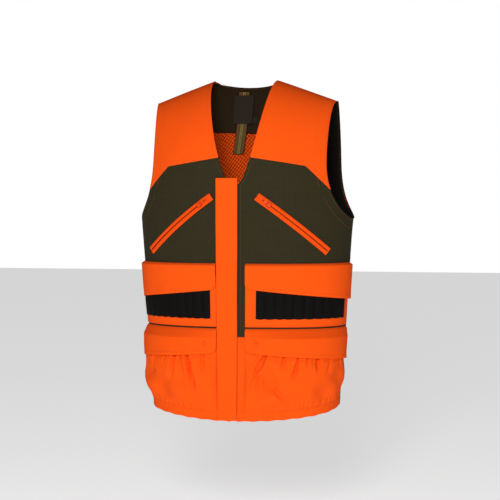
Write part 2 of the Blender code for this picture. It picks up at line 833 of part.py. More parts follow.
def loop_pocket(side_name, side, parent):
    """A frame round an elastic band that is sewn down into cartridge loops."""
    start = POCKET_STARTS[side]
    span = POCKET_END - start
    window = [(WINDOW_STARTS[side] - start) / span, (WINDOW_END - start) / span]
    body = body_columns(start, POCKET_END)
    columns = sorted([share for share in body if min(abs(share - edge) for edge in window) > 0.02] + window)
    top = FLAP_TOP - 0.022
    tall = top - LOOP_POCKET_LOW
    rows = [0, FRAME_LOW_BAR / tall, 1 - FRAME_TOP_BAR / tall, 1]

    def hole(u, w):
        return window[0] - LAYER_TINY <= u <= window[1] + LAYER_TINY and rows[1] <= w <= rows[2]
    panel("loop_pocket_frame_" + side_name, between(start, POCKET_END, LOOP_POCKET_LOW, top), columns, rows,
          POCKET_LIFT, ORANGE, parent, side, hole=hole)

    per_loop = 4
    count = LOOPS * per_loop
    band = between(WINDOW_STARTS[side] + BAND_GAP, WINDOW_END - BAND_GAP,
                   LOOP_POCKET_LOW + FRAME_LOW_BAR + BAND_GAP, top - FRAME_TOP_BAR - BAND_GAP)

    def rise(u, w):
        return POCKET_LIFT + LOOP_BULGE * abs(sin(pi * LOOPS * u))
    panel("cartridge_loops_" + side_name, band, even(count), even(1), rise, BLACK, parent, side, thick=0.001)


def loop_flap_low(girth):
    return mix(LOOP_FLAP_LOW, LOOP_FLAP_LOW_OUTER, girth / POCKET_END)


def cargo_flap_low(girth):
    return mix(CARGO_FLAP_LOW, CARGO_FLAP_LOW_OUTER, girth / POCKET_END)


def cargo_rise(girth, height, side):
    """How far the cargo pouch stands off the skirt: flat at its sewn edges, fullest at mid height."""
    start = POCKET_STARTS[side]
    across = min(max((girth - start) / (POCKET_END - start), 0), 1)
    low = hem(girth) + 0.004
    up = min(max((height - low) / (CARGO_MOUTH - low), 0), 1)
    mouth = 1 - 0.35 * max(up - 0.6, 0) / 0.4
    return CARGO_BULGE * sin(pi * across) ** 0.6 * min(up / 0.35, 1) ** 0.7 * mouth


def flap_hinge(height, lift, side):
    """Where a pocket flap turns: a level line that touches its curved seam at the fullest point."""
    first = POCKET_STARTS[side]
    start, end = skin(first, height, lift), skin(POCKET_END, height, lift)
    along = (end - start).normalized()
    along.z = 0
    along.normalize()
    outward = Vector((along.y, -along.x, 0))
    spots = [skin(mix(first, POCKET_END, share), height, lift) for share in even(60)]
    fullest = max(spots, key=lambda spot: spot.dot(outward))
    place = Vector((fullest.x * side, fullest.y, height))
    axis = Vector((-along.x, -along.y * side, 0))
    return place, axis


def flap(name, top, low, rise, joint_name, side, parent):
    start = POCKET_STARTS[side]
    columns = body_columns(start, POCKET_END)
    place, _ = flap_hinge(top, rise(0.15, top, side), side)
    hinge = joint(joint_name, place, parent)
    spot = between(start, POCKET_END, low, top - 0.004)

    def lift(u, w):
        girth, height = spot(u, w)
        return rise(girth, height, side)
    panel(name, spot, columns, even(4), lift, ORANGE, hinge, side)
    return hinge


def welt(name, top, rise, side, parent):
    """The sewn-down strip that a flap hangs from."""
    start = POCKET_STARTS[side]
    panel(name, between(start, POCKET_END, top - 0.0025, top + 0.0035), body_columns(start, POCKET_END),
          even(1), rise(0.15, top, side), ORANGE, parent, side)


def loop_flap_rise(girth, height, side):
    return LOOP_FLAP_LIFT


def cargo_flap_rise(girth, height, side):
    over = POCKET_LIFT + 0.0036 + cargo_rise(girth, min(height, CARGO_MOUTH), side)
    share = (height - CARGO_MOUTH) / (CARGO_FLAP_TOP - CARGO_MOUTH)
    return mix(over, 0.0062, min(max(share, 0), 1))


def cargo_pocket(side_name, side, parent):
    start = POCKET_STARTS[side]
    columns = sorted(set(body_columns(start, POCKET_END) + [0.02, 0.98]))
    spot = between(start, POCKET_END, lambda girth: hem(girth) + 0.004, CARGO_MOUTH)

    def rise(u, w):
        return POCKET_LIFT + cargo_rise(*spot(u, w), side)
    panel("cargo_pouch_" + side_name, spot, columns, [0, 0.04, 0.12, 0.25, 0.4, 0.6, 0.8, 1.0], rise, ORANGE,
          parent, side)


SNAP_INSET = 0.026
SNAP_HEIGHT = -0.570


def snaps(side_name, side, parent, flap_joint):
    """A stud on the pouch and the cap on the flap over it, square to the cloth they stand on."""
    girth, height = POCKET_STARTS[side] + SNAP_INSET, SNAP_HEIGHT
    reach = 0.007

    def standing(rise, above):
        def spot(g, h):
            return skin(g, h, rise(g, h, side))
        along = spot(girth + reach, height) - spot(girth - reach, height)
        up = spot(girth, height + reach) - spot(girth, height - reach)
        outward = along.cross(up).normalized()
        place = (spot(girth + reach, height) + spot(girth - reach, height)) / 2 + outward * above
        flip = Vector((side, 1, 1))
        return place * flip, outward * flip
    place, outward = standing(lambda g, h, s: POCKET_LIFT + cargo_rise(g, h, s), CLOTH + 0.0006)
    disc("snap_stud_" + side_name, 0.0045, 0.0008, place, outward, METAL, parent)
    place, outward = standing(cargo_flap_rise, CLOTH + 0.0009)
    disc("snap_cap_" + side_name, 0.006, 0.0012, place, outward, METAL, flap_joint)


def chest_zip(side_name, side, parent):
    def at(spot):
        place = skin(*spot, CHEST_ZIP_LIFT)
        place.x *= side
        return place
    ends = [at(CHEST_ZIP_START), at(CHEST_ZIP_END)]
    centre, axis, sweep, start = arc_zip("chest_zip_tape_" + side_name, ends, at(CHEST_ZIP_MIDDLE), 12,
                                         TAPE_WIDTH, ORANGE, parent)
    frame = slider_frame(centre, axis, Matrix.Rotation(sweep * CHEST_SLIDER_SHARE, 3, axis) @ start)
    run = joint("chest_zip_joint_" + side_name, centre, parent)
    hinge = joint("chest_puller_joint_" + side_name, puller_axis(frame), run)
    slider_pieces("chest_zip_slider_" + side_name, frame, LACQUER, run, hinge, puller_up=True)


def main_zip_half(side_name, side, parent):
    """Tape and chain of one half, one section drawn out along the straight centre front."""
    y = -FRONT_DEPTH
    section_points = [
        (CHAIN_INNER, y - 0.0016), (CHAIN_OUTER, y - 0.0016),
        (CHAIN_OUTER, y - 0.0006), (TAPE_OUTER, y - 0.0006),
        (TAPE_OUTER, y + 0.0002), (CHAIN_OUTER, y + 0.0002),
        (CHAIN_OUTER, y + 0.0008), (CHAIN_INNER, y + 0.0008),
    ]
    loop = [(x * side, depth) for x, depth in section_points]
    middle = (MAIN_ZIP_TOP + MAIN_ZIP_LOW) / 2
    outline("main_zip_half_" + side_name, [loop], MAIN_ZIP_TOP - MAIN_ZIP_LOW,
            Matrix.Translation((0, 0, middle)), ORANGE, parent)


def main_zip_hardware(parent):
    """Slider, puller and the retainer box at the foot, all on the wearer's left half."""
    place = Vector((0, -FRONT_DEPTH - 0.0019, MAIN_ZIP_TOP - SLIDER_LENGTH / 2 + 0.002))
    frame = frame_of(place, Vector((0, 0, 1)), Vector((0, -1, 0)))
    run = joint("main_zip_joint", place, parent)
    slider = slider_pieces("main_zip_slider", frame, METAL, run, run, puller_up=False)
    back = helper("slider_back", block((SLIDER_WIDTH, SLIDER_LENGTH, 0.001), (0, 0, -0.0036), frame))
    post = block((0.0014, 0.003, 0.0042), (0, SLIDER_LENGTH / 2 - 0.0018, -0.0017), frame)
    post = helper("slider_post", post)
    joined(slider, [post, back])
    box_frame = frame @ Matrix.Translation((0, MAIN_ZIP_LOW - place.z - 0.0035, 0))
    bm = block((0.0085, 0.006, 0.0045), (0.0002, 0, -0.0015), box_frame)
    from_bmesh("zip_retainer_box", bm, METAL, parent)


def storm_flap(parent):
    """The placket over the main zip: sewn to the wearer's left front, free on the other side."""
    place = skin(STORM_FLAP_SEAM, ARMPIT_HEIGHT, STORM_FLAP_LIFT)
    hinge = joint("storm_flap_joint", place, parent)

    spot = between(STORM_FLAP_EDGE, STORM_FLAP_SEAM - 0.001, lambda girth: HEM_HEIGHT + 0.003, STORM_FLAP_TOP)
    panel("storm_flap", spot, even(3), even(4), STORM_FLAP_LIFT, ORANGE, hinge, trim=0.0005)


# ---------------------------------------------------------------- the vest

def front(side_name, side):
    pivot = skin(SIDE, ARMPIT_HEIGHT)
    pivot.x *= side
    parent = joint("front_joint_" + side_name, pivot)
    front_panels(side_name, side, parent)
    front_lining(side_name, side, parent)
    armhole_facing(side_name, side, False, parent)
    loop_pocket(side_name, side, parent)
    welt("loop_flap_welt_" + side_name, FLAP_TOP, loop_flap_rise, side, parent)
    flap("loop_flap_" + side_name, FLAP_TOP, loop_flap_low, loop_flap_rise,
         "loop_flap_joint_" + side_name, side, parent)
    cargo_pocket(side_name, side, parent)
    welt("cargo_flap_welt_" + side_name, CARGO_FLAP_TOP, cargo_flap_rise, side, parent)
    cargo_hinge = flap("cargo_flap_" + side_name, CARGO_FLAP_TOP, cargo_flap_low, cargo_flap_rise,
                       "cargo_flap_joint_" + side_name, side, parent)
    snaps(side_name, side, parent, cargo_hinge)
    chest_zip(side_name, side, parent)
    main_zip_half(side_name, side, parent)
    return parent


back_yoke()
back_panel()
inner_back()
game_pouch()
rear_zip()
hanger()
for side_label, side_sign in (("left", 1), ("right", -1)):
    side_panel(side_label, side_sign)
    armhole_facing(side_label, side_sign, True)
    front_parent = front(side_label, side_sign)
    if side_sign > 0:
        main_zip_hardware(front_parent)
        storm_flap(front_parent)
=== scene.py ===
"""The looks of the blaze orange vest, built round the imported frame.

Metres, +Z up, front towards -Y, +X on the wearer's left. A spot on the cloth is a girth, the distance
round the torso form from the centre front, and a height. Every layer is laid on that form with its own lift.
"""

from math import pi, radians, sqrt

import bpy
import numpy as np
from mathutils import Matrix, Vector


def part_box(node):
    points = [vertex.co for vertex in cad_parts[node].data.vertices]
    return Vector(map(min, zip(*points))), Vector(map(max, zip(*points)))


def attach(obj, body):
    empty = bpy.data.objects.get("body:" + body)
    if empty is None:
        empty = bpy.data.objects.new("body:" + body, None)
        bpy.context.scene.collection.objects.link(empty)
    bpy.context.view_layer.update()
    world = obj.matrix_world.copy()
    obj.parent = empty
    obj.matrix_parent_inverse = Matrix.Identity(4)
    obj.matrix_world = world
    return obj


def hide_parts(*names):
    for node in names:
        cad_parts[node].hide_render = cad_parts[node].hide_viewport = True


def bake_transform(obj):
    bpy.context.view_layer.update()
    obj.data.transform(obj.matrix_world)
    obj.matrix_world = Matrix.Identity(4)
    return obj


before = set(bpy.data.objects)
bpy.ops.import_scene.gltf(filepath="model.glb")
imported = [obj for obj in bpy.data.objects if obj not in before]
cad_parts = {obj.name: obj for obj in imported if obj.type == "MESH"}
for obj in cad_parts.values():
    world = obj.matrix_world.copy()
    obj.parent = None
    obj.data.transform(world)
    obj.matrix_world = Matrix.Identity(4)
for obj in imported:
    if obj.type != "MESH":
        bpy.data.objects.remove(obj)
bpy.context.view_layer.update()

# Torso form, as in the CAD
CHEST_HALF = 0.231
HEM_HALF = 0.202
FRONT_DEPTH = 0.130
BACK_DEPTH = 0.112
FULLNESS = 2.3
SHOULDER_SLOPE = 0.372
SHOULDER_TOP = -0.008
SHOULDER_SOFT = 0.030
SHOULDER_ROUND = 0.200
NECK_HALF = 0.070
SHOULDER_HALF = 0.199

# Heights
BACK_NECK_DROP = 0.015
FACING_HEIGHT = -0.115
BACK_YOKE_HEIGHT = -0.160
YOKE_HEIGHT = -0.175
YOKE_CORNER_HEIGHT = -0.193
YOKE_ARM_HEIGHT = -0.243
NECKLINE_HEIGHT = -0.231
NECKLINE_BOW = 0.60
ARMPIT_HEIGHT = -0.305
FLAP_TOP = -0.403
LOOP_FLAP_LOW = -0.450
LOOP_FLAP_LOW_OUTER = -0.478
LOOP_POCKET_LOW = -0.533
CARGO_FLAP_TOP = -0.541
CARGO_FLAP_LOW = -0.586
CARGO_FLAP_LOW_OUTER = -0.605
SKIRT_TOP = -0.555
CARGO_MOUTH = -0.557
HEM_HEIGHT = -0.733
HEM_RISE = 0.024
HEM_BAND = 0.0195
GAME_POUCH_TOP = -0.462

# Girths on the front
FRONT_EDGE = 0.008
YOKE_CORNER_GIRTH = 0.151
POCKET_STARTS = {1: 0.026, -1: 0.0405}
POCKET_END = 0.287
WINDOW_STARTS = {1: 0.049, -1: 0.053}
WINDOW_END = 0.264
STORM_FLAP_EDGE = -0.0385
STORM_FLAP_SEAM = 0.0075
STORM_FLAP_TOP = -0.219
SIDE_PANEL = 0.050
ARMHOLE_FACING = 0.026
BACK_FACING = 0.042

# Cloth and lifts
CLOTH = 0.0014
LINING_LIFT = -0.0016
LINING_CLOTH = 0.001
OUTER_LIFT = 0.0016
POCKET_LIFT = 0.0040
LOOP_BULGE = 0.0034
LOOPS = 10
LOOP_FLAP_LIFT = 0.0098
CARGO_BULGE = 0.018
GAME_BULGE = 0.022
STORM_FLAP_LIFT = 0.0068
FACING_GAP = 0.004

# Zips
TAPE_WIDTH = 0.017
TAPE_THICK = 0.0010
CHEST_ZIP_START = (0.049, -0.2575)
CHEST_ZIP_MIDDLE = (0.127, -0.3155)
CHEST_ZIP_END = (0.204, -0.3745)
CHEST_ZIP_LIFT = 0.0056
CHEST_SLIDER_SHARE = 0.16
MAIN_ZIP_TOP = -0.228
MAIN_ZIP_LOW = -0.722
REAR_ZIP_HALF = 0.125
REAR_ZIP_LIFT = 0.0045

POWER = 2 / FULLNESS
SIDES = (("left", 1), ("right", -1))


# ---------------------------------------------------------------- torso form, on arrays

def mix(a, b, share):
    return a + (b - a) * share


def smooth(value):
    value = np.clip(value, 0, 1)
    return value * value * (3 - 2 * value)


def bell(distance, width):
    return np.exp(-(distance / width) ** 2)


def section(angle):
    across = np.abs(np.sin(angle)) ** POWER * np.sign(np.sin(angle))
    along = -np.abs(np.cos(angle)) ** POWER * np.sign(np.cos(angle))
    return across, along


def depth_of(along):
    return along * np.where(along < 0, FRONT_DEPTH, BACK_DEPTH)


ANGLES = np.linspace(0, pi, 4001)
ACROSS, ALONG = section(ANGLES)
GIRTHS = np.concatenate([[0], np.cumsum(np.hypot(np.diff(CHEST_HALF * ACROSS), np.diff(depth_of(ALONG))))])
BACK = GIRTHS[-1]


def girth_at(angle):
    return np.interp(angle, ANGLES, GIRTHS)


SIDE = float(girth_at(pi / 2))


def section_at(girth):
    return section(np.interp(np.minimum(np.abs(girth), BACK), GIRTHS, ANGLES) * np.sign(girth))


def girth_at_x(x, back=False):
    angle = np.arcsin(np.clip(np.asarray(x) / CHEST_HALF, 0, 1) ** (1 / POWER))
    return girth_at(pi - angle if back else angle)


def folded(girth):
    """The girth on the near half, for girths that run on past the centre back."""
    return np.where(girth > BACK, 2 * BACK - girth, girth)


def shoulder_line(x):
    return SHOULDER_TOP + SHOULDER_SLOPE * (np.hypot(NECK_HALF, SHOULDER_SOFT) - np.hypot(x, SHOULDER_SOFT))


def base_skin(girth, height):
    """Points and unit normals of the torso form."""
    girth, height = np.broadcast_arrays(np.asarray(girth, float), np.asarray(height, float))
    across, along = section_at(girth)
    width = CHEST_HALF - (CHEST_HALF - HEM_HALF) * np.maximum(
        (ARMPIT_HEIGHT - height) / (ARMPIT_HEIGHT - HEM_HEIGHT), 0)
    x = width * across
    depth = np.where(along < 0, FRONT_DEPTH, BACK_DEPTH)
    inset = 1 - np.clip(shoulder_line(x) - height, 0, SHOULDER_ROUND) / SHOULDER_ROUND
    inward = np.maximum(1 - inset ** 2, 1e-7)
    y = along * depth * np.sqrt(inward)
    round_power = inward ** (FULLNESS / 2)
    outer = np.abs(across) ** FULLNESS - 1
    by_drop = FULLNESS / 2 * round_power / inward * outer * 2 * inset / SHOULDER_ROUND
    ridge_slope = -SHOULDER_SLOPE * x / np.sqrt(x * x + SHOULDER_SOFT ** 2)
    sideways = round_power * FULLNESS * np.sign(across) * np.abs(across) ** (FULLNESS - 1) / width
    normal = np.stack([
        sideways + by_drop * ridge_slope,
        FULLNESS * np.sign(y) * np.abs(y / depth) ** (FULLNESS - 1) / depth,
        -by_drop,
    ], -1)
    normal /= np.linalg.norm(normal, axis=-1, keepdims=True)
    return np.stack([x, y, height], -1), normal


def drop_at(girth, height):
    """Distance down the cloth from the shoulder ridge."""
    fall = np.maximum(shoulder_line(CHEST_HALF * section_at(girth)[0]) - height, 0)
    curved = SHOULDER_ROUND * np.arccos(np.clip(1 - fall / SHOULDER_ROUND, -1, 1))
    return np.where(fall < SHOULDER_ROUND, curved, SHOULDER_ROUND * (pi / 2 - 1) + fall)


def height_at(girth, drop):
    top = shoulder_line(CHEST_HALF * section_at(girth)[0])
    curved = top - SHOULDER_ROUND * (1 - np.cos(np.minimum(drop / SHOULDER_ROUND, pi / 2)))
    return np.where(drop < SHOULDER_ROUND * pi / 2, curved, top - drop + SHOULDER_ROUND * (pi / 2 - 1))


def up_at(girth, height):
    """Distance up the cloth, level round the body below the shoulders."""
    near = folded(girth)
    return shoulder_line(CHEST_HALF * section_at(near)[0]) - drop_at(near, height)


# ---------------------------------------------------------------- how the cloth hangs

def waves(points, length, seed, count=9, stretch=(1, 1, 1)):
    """Smooth random undulation of about unit size, at any points."""
    random = np.random.default_rng(seed)
    total = np.zeros(points.shape[:-1])
    for _ in range(count):
        heading = random.normal(size=3)
        heading *= np.asarray(stretch) / np.linalg.norm(heading)
        reach = 2 * pi / (length * random.uniform(0.75, 1.5))
        total += np.sin(points @ (heading * reach) + random.uniform(0, 2 * pi))
    return total / sqrt(count / 2)


def ripple(points):
    """The slack that all layers share, so that none of them meet."""
    below_ridge = smooth((-0.02 - points[..., 2]) / 0.16)
    long_waves = waves(points, 0.19, 4, stretch=(1, 1, 0.55))
    short_waves = waves(points, 0.075, 9, stretch=(1, 1, 0.6))
    return below_ridge * (0.0011 * long_waves + 0.00028 * short_waves)


def half_skin(girth, height, side):
    """Points and unit normals of the torso form, on the half that the side and the girth say."""
    half = side * np.where(girth > BACK, -1, 1)
    flip = np.stack([half, np.ones_like(half), np.ones_like(half)], -1)
    points, normals = base_skin(folded(girth), height)
    return points * flip, normals * flip


def place(girth, height, lift, side):
    """Points of a layer at this lift, slack included."""
    points, normals = half_skin(girth, height, side)
    return points + normals * (lift + ripple(points))[..., None]


# ---------------------------------------------------------------- pattern lines, as (girth, height)

def hem(girth):
    far = np.abs(girth)
    share = np.where(far < SIDE, far / SIDE, (BACK - far) / (BACK - SIDE))
    return HEM_HEIGHT + HEM_RISE * share ** 2


def neckline(height):
    share = np.clip(1 - height / NECKLINE_HEIGHT, 0, 1)
    return mix(FRONT_EDGE, girth_at_x(NECK_HALF), share ** NECKLINE_BOW)


def ridge(x, back=False):
    return girth_at_x(x, back), shoulder_line(np.asarray(x, float))


def armhole(share, back=False, inset=0.0):
    """The armhole's edge, from the side seam at share 0 to the shoulder at share 1."""
    share = np.asarray(share, float)
    waist = girth_at_x(0.194 if back else 0.1885, back)
    waist_height = -0.18
    curl = 2 / 2.2
    turn = np.clip(share, 0, 0.5) * pi
    low_girth = mix(waist, SIDE, 1 - np.sin(turn) ** curl)
    low_height = mix(waist_height, ARMPIT_HEIGHT, np.maximum(np.cos(turn), 0) ** curl)
    up = np.clip(2 * share - 1, 0, 1)
    high_girth = mix(waist, girth_at_x(SHOULDER_HALF, back), up ** 2)
    high_height = height_at(high_girth, mix(drop_at(waist, waist_height), 0, up))
    girth = np.where(share < 0.5, low_girth, high_girth)
    height = np.where(share < 0.5, low_height, high_height)
    if not inset:
        return girth, height
    step = 0.01
    low = armhole(np.maximum(share - step, 0), back)
    high = armhole(np.minimum(share + step, 1), back)
    across = high[0] - low[0]
    along = drop_at(*low) - drop_at(*high)
    length = np.hypot(across, along)
    moved = girth + (1 if back else -1) * inset * along / length
    drop = drop_at(girth, height) + inset * np.abs(across) / length
    return moved, height_at(moved, drop)


def crossing(wanted, which, back=False):
    """The armhole share where its lower curve passes this girth (which 0) or height (which 1)."""
    shares = np.linspace(0, 0.5, 2001)
    return float(np.interp(wanted, armhole(shares, back)[which], shares))


YOKE_SHARE = crossing(YOKE_ARM_HEIGHT, 1)
BACK_YOKE_SHARE = 0.55
SIDE_PANEL_SHARE = crossing(SIDE + SIDE_PANEL, 0, True)


def yoke_seam(share):
    arm = armhole(YOKE_SHARE)
    marks = [0, 2 / 3, 1]
    girth = np.interp(share, marks, [float(neckline(YOKE_HEIGHT)), YOKE_CORNER_GIRTH, float(arm[0])])
    return girth, np.interp(share, marks, [YOKE_HEIGHT, YOKE_CORNER_HEIGHT, float(arm[1])])


def patch(bottom, top, inner, outer):
    """A Coons patch between four edges, worked in girth and distance down from the shoulder."""
    def flat(spot):
        girth, height = np.broadcast_arrays(*spot)
        return np.stack([girth, drop_at(girth, height)], -1)

    def at(u, w):
        across, up = u[..., None], w[..., None]
        spot = ((1 - up) * flat(bottom(u)) + up * flat(top(u))
                + (1 - across) * flat(inner(w)) + across * flat(outer(w)))
        for end, weight in ((0.0, 1 - across), (1.0, across)):
            corner = np.full(1, end)
            spot = spot - weight * ((1 - up) * flat(bottom(corner)) + up * flat(top(corner)))
        return spot[..., 0], height_at(spot[..., 0], spot[..., 1])
    return at


def level(value, girth):
    return value(girth) if callable(value) else value


def between(start, stop, low, high):
    def at(u, w):
        girth = mix(start, stop, u)
        return girth, mix(level(low, girth), level(high, girth), w)
    return at


def stacked(lower, upper, share):
    def at(u, w):
        below = lower(u, np.clip(w / share, 0, 1))
        above = upper(u, np.clip((w - share) / (1 - share), 0, 1))
        return tuple(np.where(w < share, a, b) for a, b in zip(below, above))
    return at


def round_cornered(start, stop, low, high, inner=0.0, outer=0.0, flare=0.0):
    """Spots of a flap whose lower corners are rounded, the inner one by inner and the outer one by outer."""
    def at(u, w):
        def reach(above, radius):
            short = np.clip(radius - above, 0, radius)
            return radius - np.sqrt(np.maximum(radius ** 2 - short ** 2, 0)) if radius else 0 * above
        middle = mix(start, stop, u)
        above = w * (high - level(low, middle))
        first = start + reach(above, inner)
        last = stop - reach(above, outer) + flare * np.clip(1 - above / 0.05, 0, 1) ** 2
        girth = mix(first, last, u)
        return girth, mix(level(low, girth), high, w)
    return at


def crowded(count, low=0.0, high=1.0, power=1.0):
    """Shares from low to high, closer together towards low."""
    return mix(low, high, np.linspace(0, 1, count + 1) ** power)


def spaced(length, pitch):
    return np.linspace(0, 1, max(int(round(length / pitch)), 2) + 1)


# ---------------------------------------------------------------- meshes

def mesh_object(name, points, faces, look, spots=None, smooth_faces=True):
    mesh = bpy.data.meshes.new(name)
    mesh.from_pydata(np.asarray(points).tolist(), [], [list(f) for f in faces])
    mesh.polygons.foreach_set("use_smooth", [smooth_faces] * len(mesh.polygons))
    if spots is not None:
        loops = np.empty(len(mesh.loops), np.int32)
        mesh.loops.foreach_get("vertex_index", loops)
        layer = mesh.uv_layers.new(name="cloth")
        layer.data.foreach_set("uv", np.asarray(spots, np.float32)[loops].ravel())
    mesh.update()
    obj = bpy.data.objects.new(name, mesh)
    bpy.context.scene.collection.objects.link(obj)
    mesh.materials.append(look)
    return obj


def grid_faces(rows, columns, keep=None):
    index = np.arange(rows * columns).reshape(rows, columns)
    faces = np.stack([index[:-1, :-1], index[:-1, 1:], index[1:, 1:], index[1:, :-1]], -1)
    return faces[keep] if keep is not None else faces.reshape(-1, 4)


def open_edges(faces):
    """Directed edges that only one face uses."""
    edges = np.concatenate([np.stack([faces[:, k], faces[:, (k + 1) % 4]], 1) for k in range(4)])
    codes = edges.min(1).astype(np.int64) * (edges.max() + 1) + edges.max(1)
    _, where, uses = np.unique(codes, return_index=True, return_counts=True)
    return edges[where[uses == 1]]


def slab(name, inner, outer, look, spots, keep=None, flip=False):
    """A sheet of cloth between two grids of points, with a rolled edge all round."""
    rows, columns = inner.shape[:2]
    faces = grid_faces(rows, columns, keep)
    if flip:
        faces = faces[:, ::-1]
    count = rows * columns
    flat_in, flat_out = inner.reshape(-1, 3), outer.reshape(-1, 3)
    edges = open_edges(faces)
    thick = flat_out - flat_in
    heading = flat_out[edges[:, 1]] - flat_out[edges[:, 0]]
    away = np.cross(heading, thick[edges[:, 0]])
    away /= np.maximum(np.linalg.norm(away, axis=1, keepdims=True), 1e-12)
    outward = np.zeros((count, 3))
    for end in (0, 1):
        np.add.at(outward, edges[:, end], away)
    outward /= np.maximum(np.linalg.norm(outward, axis=1, keepdims=True), 1e-12)
    rim = np.unique(edges)
    number = np.full(count, -1)
    number[rim] = np.arange(len(rim))
    reach = 0.42 * np.linalg.norm(thick[rim], axis=1, keepdims=True)
    middle = (flat_in[rim] + flat_out[rim]) / 2 + outward[rim] * reach
    points = np.concatenate([flat_out, flat_in, middle])
    a, b = edges[:, 0], edges[:, 1]
    mid_a, mid_b = 2 * count + number[a], 2 * count + number[b]
    faces = np.concatenate([
        faces, faces[:, ::-1] + count,
        np.stack([b, a, mid_a, mid_b], 1), np.stack([mid_b, mid_a, a + count, b + count], 1),
    ])
    used = np.unique(faces)
    renumber = np.zeros(len(points), np.int64)
    renumber[used] = np.arange(len(used))
    spots = spots.reshape(-1, 2)
    all_spots = np.concatenate([spots, spots, spots[rim]])
    return mesh_object(name, points[used], renumber[faces], look, all_spots[used])


def value_at(value, girth, height):
    """A lift or thickness, which may be one number or differ from spot to spot."""
    return value(girth, height) if callable(value) else value + 0 * girth


class Layer:
    """One panel's pattern: where its spots are, how far it lifts and how thick it is."""

    def __init__(self, spot, lift, side=1, thick=CLOTH):
        self.spot, self.lift, self.side, self.thick = spot, lift, side, thick

    def face(self, girth, height):
        """Points on the outer face."""
        near = folded(girth)
        lift = value_at(self.lift, near, height) + value_at(self.thick, near, height)
        return place(girth, height, lift, self.side)

    def back(self, girth, height):
        return place(girth, height, value_at(self.lift, folded(girth), height), self.side)


def cut_area(girth, height):
    points, _ = base_skin(folded(girth), height)
    first = np.cross(points[1:, 1:] - points[:-1, :-1], points[1:, :-1] - points[:-1, 1:])
    return np.linalg.norm(first, axis=-1) / 2


def cloth(name, layer, us, ws, look, keep=None, held="hung", on=(), fullness=1.0, flat=None):
    """Lays a layer's panel on the torso, as a sheet of cloth."""
    u, w = np.meshgrid(us, ws)
    girth, height = layer.spot(u, w)
    girth, height = np.broadcast_arrays(girth, height)
    kept = None
    if keep is not None:
        middle_u, middle_w = np.meshgrid((us[:-1] + us[1:]) / 2, (ws[:-1] + ws[1:]) / 2)
        kept = keep(*layer.spot(middle_u, middle_w))
    up = up_at(girth, height)
    spots = np.stack([girth * layer.side, up], -1)
    obj = slab(name, layer.back(girth, height), layer.face(girth, height), look, spots, kept,
               flip=layer.side < 0)
    width, length = float(np.ptp(girth)), float(np.ptp(up))
    cells = cut_area(girth, height)
    if flat:
        width, length = flat
    else:
        width *= fullness
    return obj


# ---------------------------------------------------------------- stitches

THREAD = 0.00022
STITCH = 0.0029
STITCH_SHARE = 0.74
SEAM_ROWS = (0.002, 0.0085)
YOKE_ARM_ROWS = (0.026, 0.004)
EDGE_ROW = 0.0022
RIPSTOP_GRID = 0.0046


def stitches(points, normals):
    """A row of separate stitches along a line of points."""
    steps = np.linalg.norm(np.diff(points, axis=0), axis=1)
    run = np.concatenate([[0], np.cumsum(steps)])
    starts = np.arange(STITCH / 2, run[-1] - STITCH, STITCH)

    def at(values, where):
        return np.stack([np.interp(where, run, values[:, k]) for k in range(3)], -1)
    up = at(normals, starts)
    ends = [at(points, starts + STITCH * STITCH_SHARE * part) for part in (0, 0.2, 0.8, 1)]
    along = ends[3] - ends[0]
    cross = np.cross(along, up)
    cross /= np.maximum(np.linalg.norm(cross, axis=1, keepdims=True), 1e-12)
    rings = [ends[0] - up * THREAD]
    for middle in ends[1:3]:
        for side, rise in ((1, 0), (0, 1.25), (-1, 0), (0, -1)):
            rings.append(middle + cross * THREAD * 1.2 * side + up * THREAD * rise)
    rings.append(ends[3] - up * THREAD)
    vertices = np.stack(rings, 1)
    one = []
    for k in range(4):
        near, far = 1 + k, 1 + (k + 1) % 4
        one += [(0, far, near, near), (near, far, far + 4, near + 4), (near + 4, far + 4, 9, 9)]
    faces = np.array(one)[None] + 10 * np.arange(len(starts))[:, None, None]
    return vertices.reshape(-1, 3), faces.reshape(-1, 4)


def seam(layer, girth, height, inside=False):
    """One row of stitches along a pattern line, on a layer's outer or inner face."""
    girth, height = np.broadcast_arrays(np.asarray(girth, float), np.asarray(height, float))
    _, normals = half_skin(girth, height, layer.side)
    if inside:
        return stitches(layer.back(girth, height), -normals)
    return stitches(layer.face(girth, height), normals)


def thread(name, rows, look):
    """Rows of stitches as one piece."""
    points, faces, count = [], [], 0
    for vertices, quads in rows:
        points.append(vertices)
        faces.append(quads + count)
        count += len(vertices)
    faces = np.concatenate(faces)
    clean = [tuple(dict.fromkeys(face)) for face in faces.tolist()]
    return mesh_object(name, np.concatenate(points), clean, look)


# ---------------------------------------------------------------- materials

def shader(name, roughness=0.85, metallic=0.0, specular=0.5):
    made = bpy.data.materials.new(name)
    made.use_nodes = True
    tree = made.node_tree
    surface = tree.nodes["Principled BSDF"]
    surface.inputs["Roughness"].default_value = roughness
    surface.inputs["Metallic"].default_value = metallic
    surface.inputs["Specular IOR Level"].default_value = specular
    return made, tree, surface


def node(tree, kind, **settings):
    made = tree.nodes.new(kind)
    inputs = settings.pop("inputs", {})
    for key, value in settings.items():
        setattr(made, key, value)
    for key, value in inputs.items():
        made.inputs[key].default_value = value
    return made


def maths(tree, operation, first, second=None, third=None):
    made = node(tree, "ShaderNodeMath", operation=operation)
    for socket, value in zip(made.inputs, (first, second, third)):
        if value is None:
            continue
        if isinstance(value, (int, float)):
            socket.default_value = value
        else:
            tree.links.new(value, socket)
    return made.outputs[0]


def across_and_up(tree):
    """Distances across and along the cloth, in metres."""
    uv = node(tree, "ShaderNodeUVMap", uv_map="cloth")
    split = node(tree, "ShaderNodeSeparateXYZ")
    tree.links.new(uv.outputs[0], split.inputs[0])
    return uv.outputs[0], split.outputs[0], split.outputs[1]


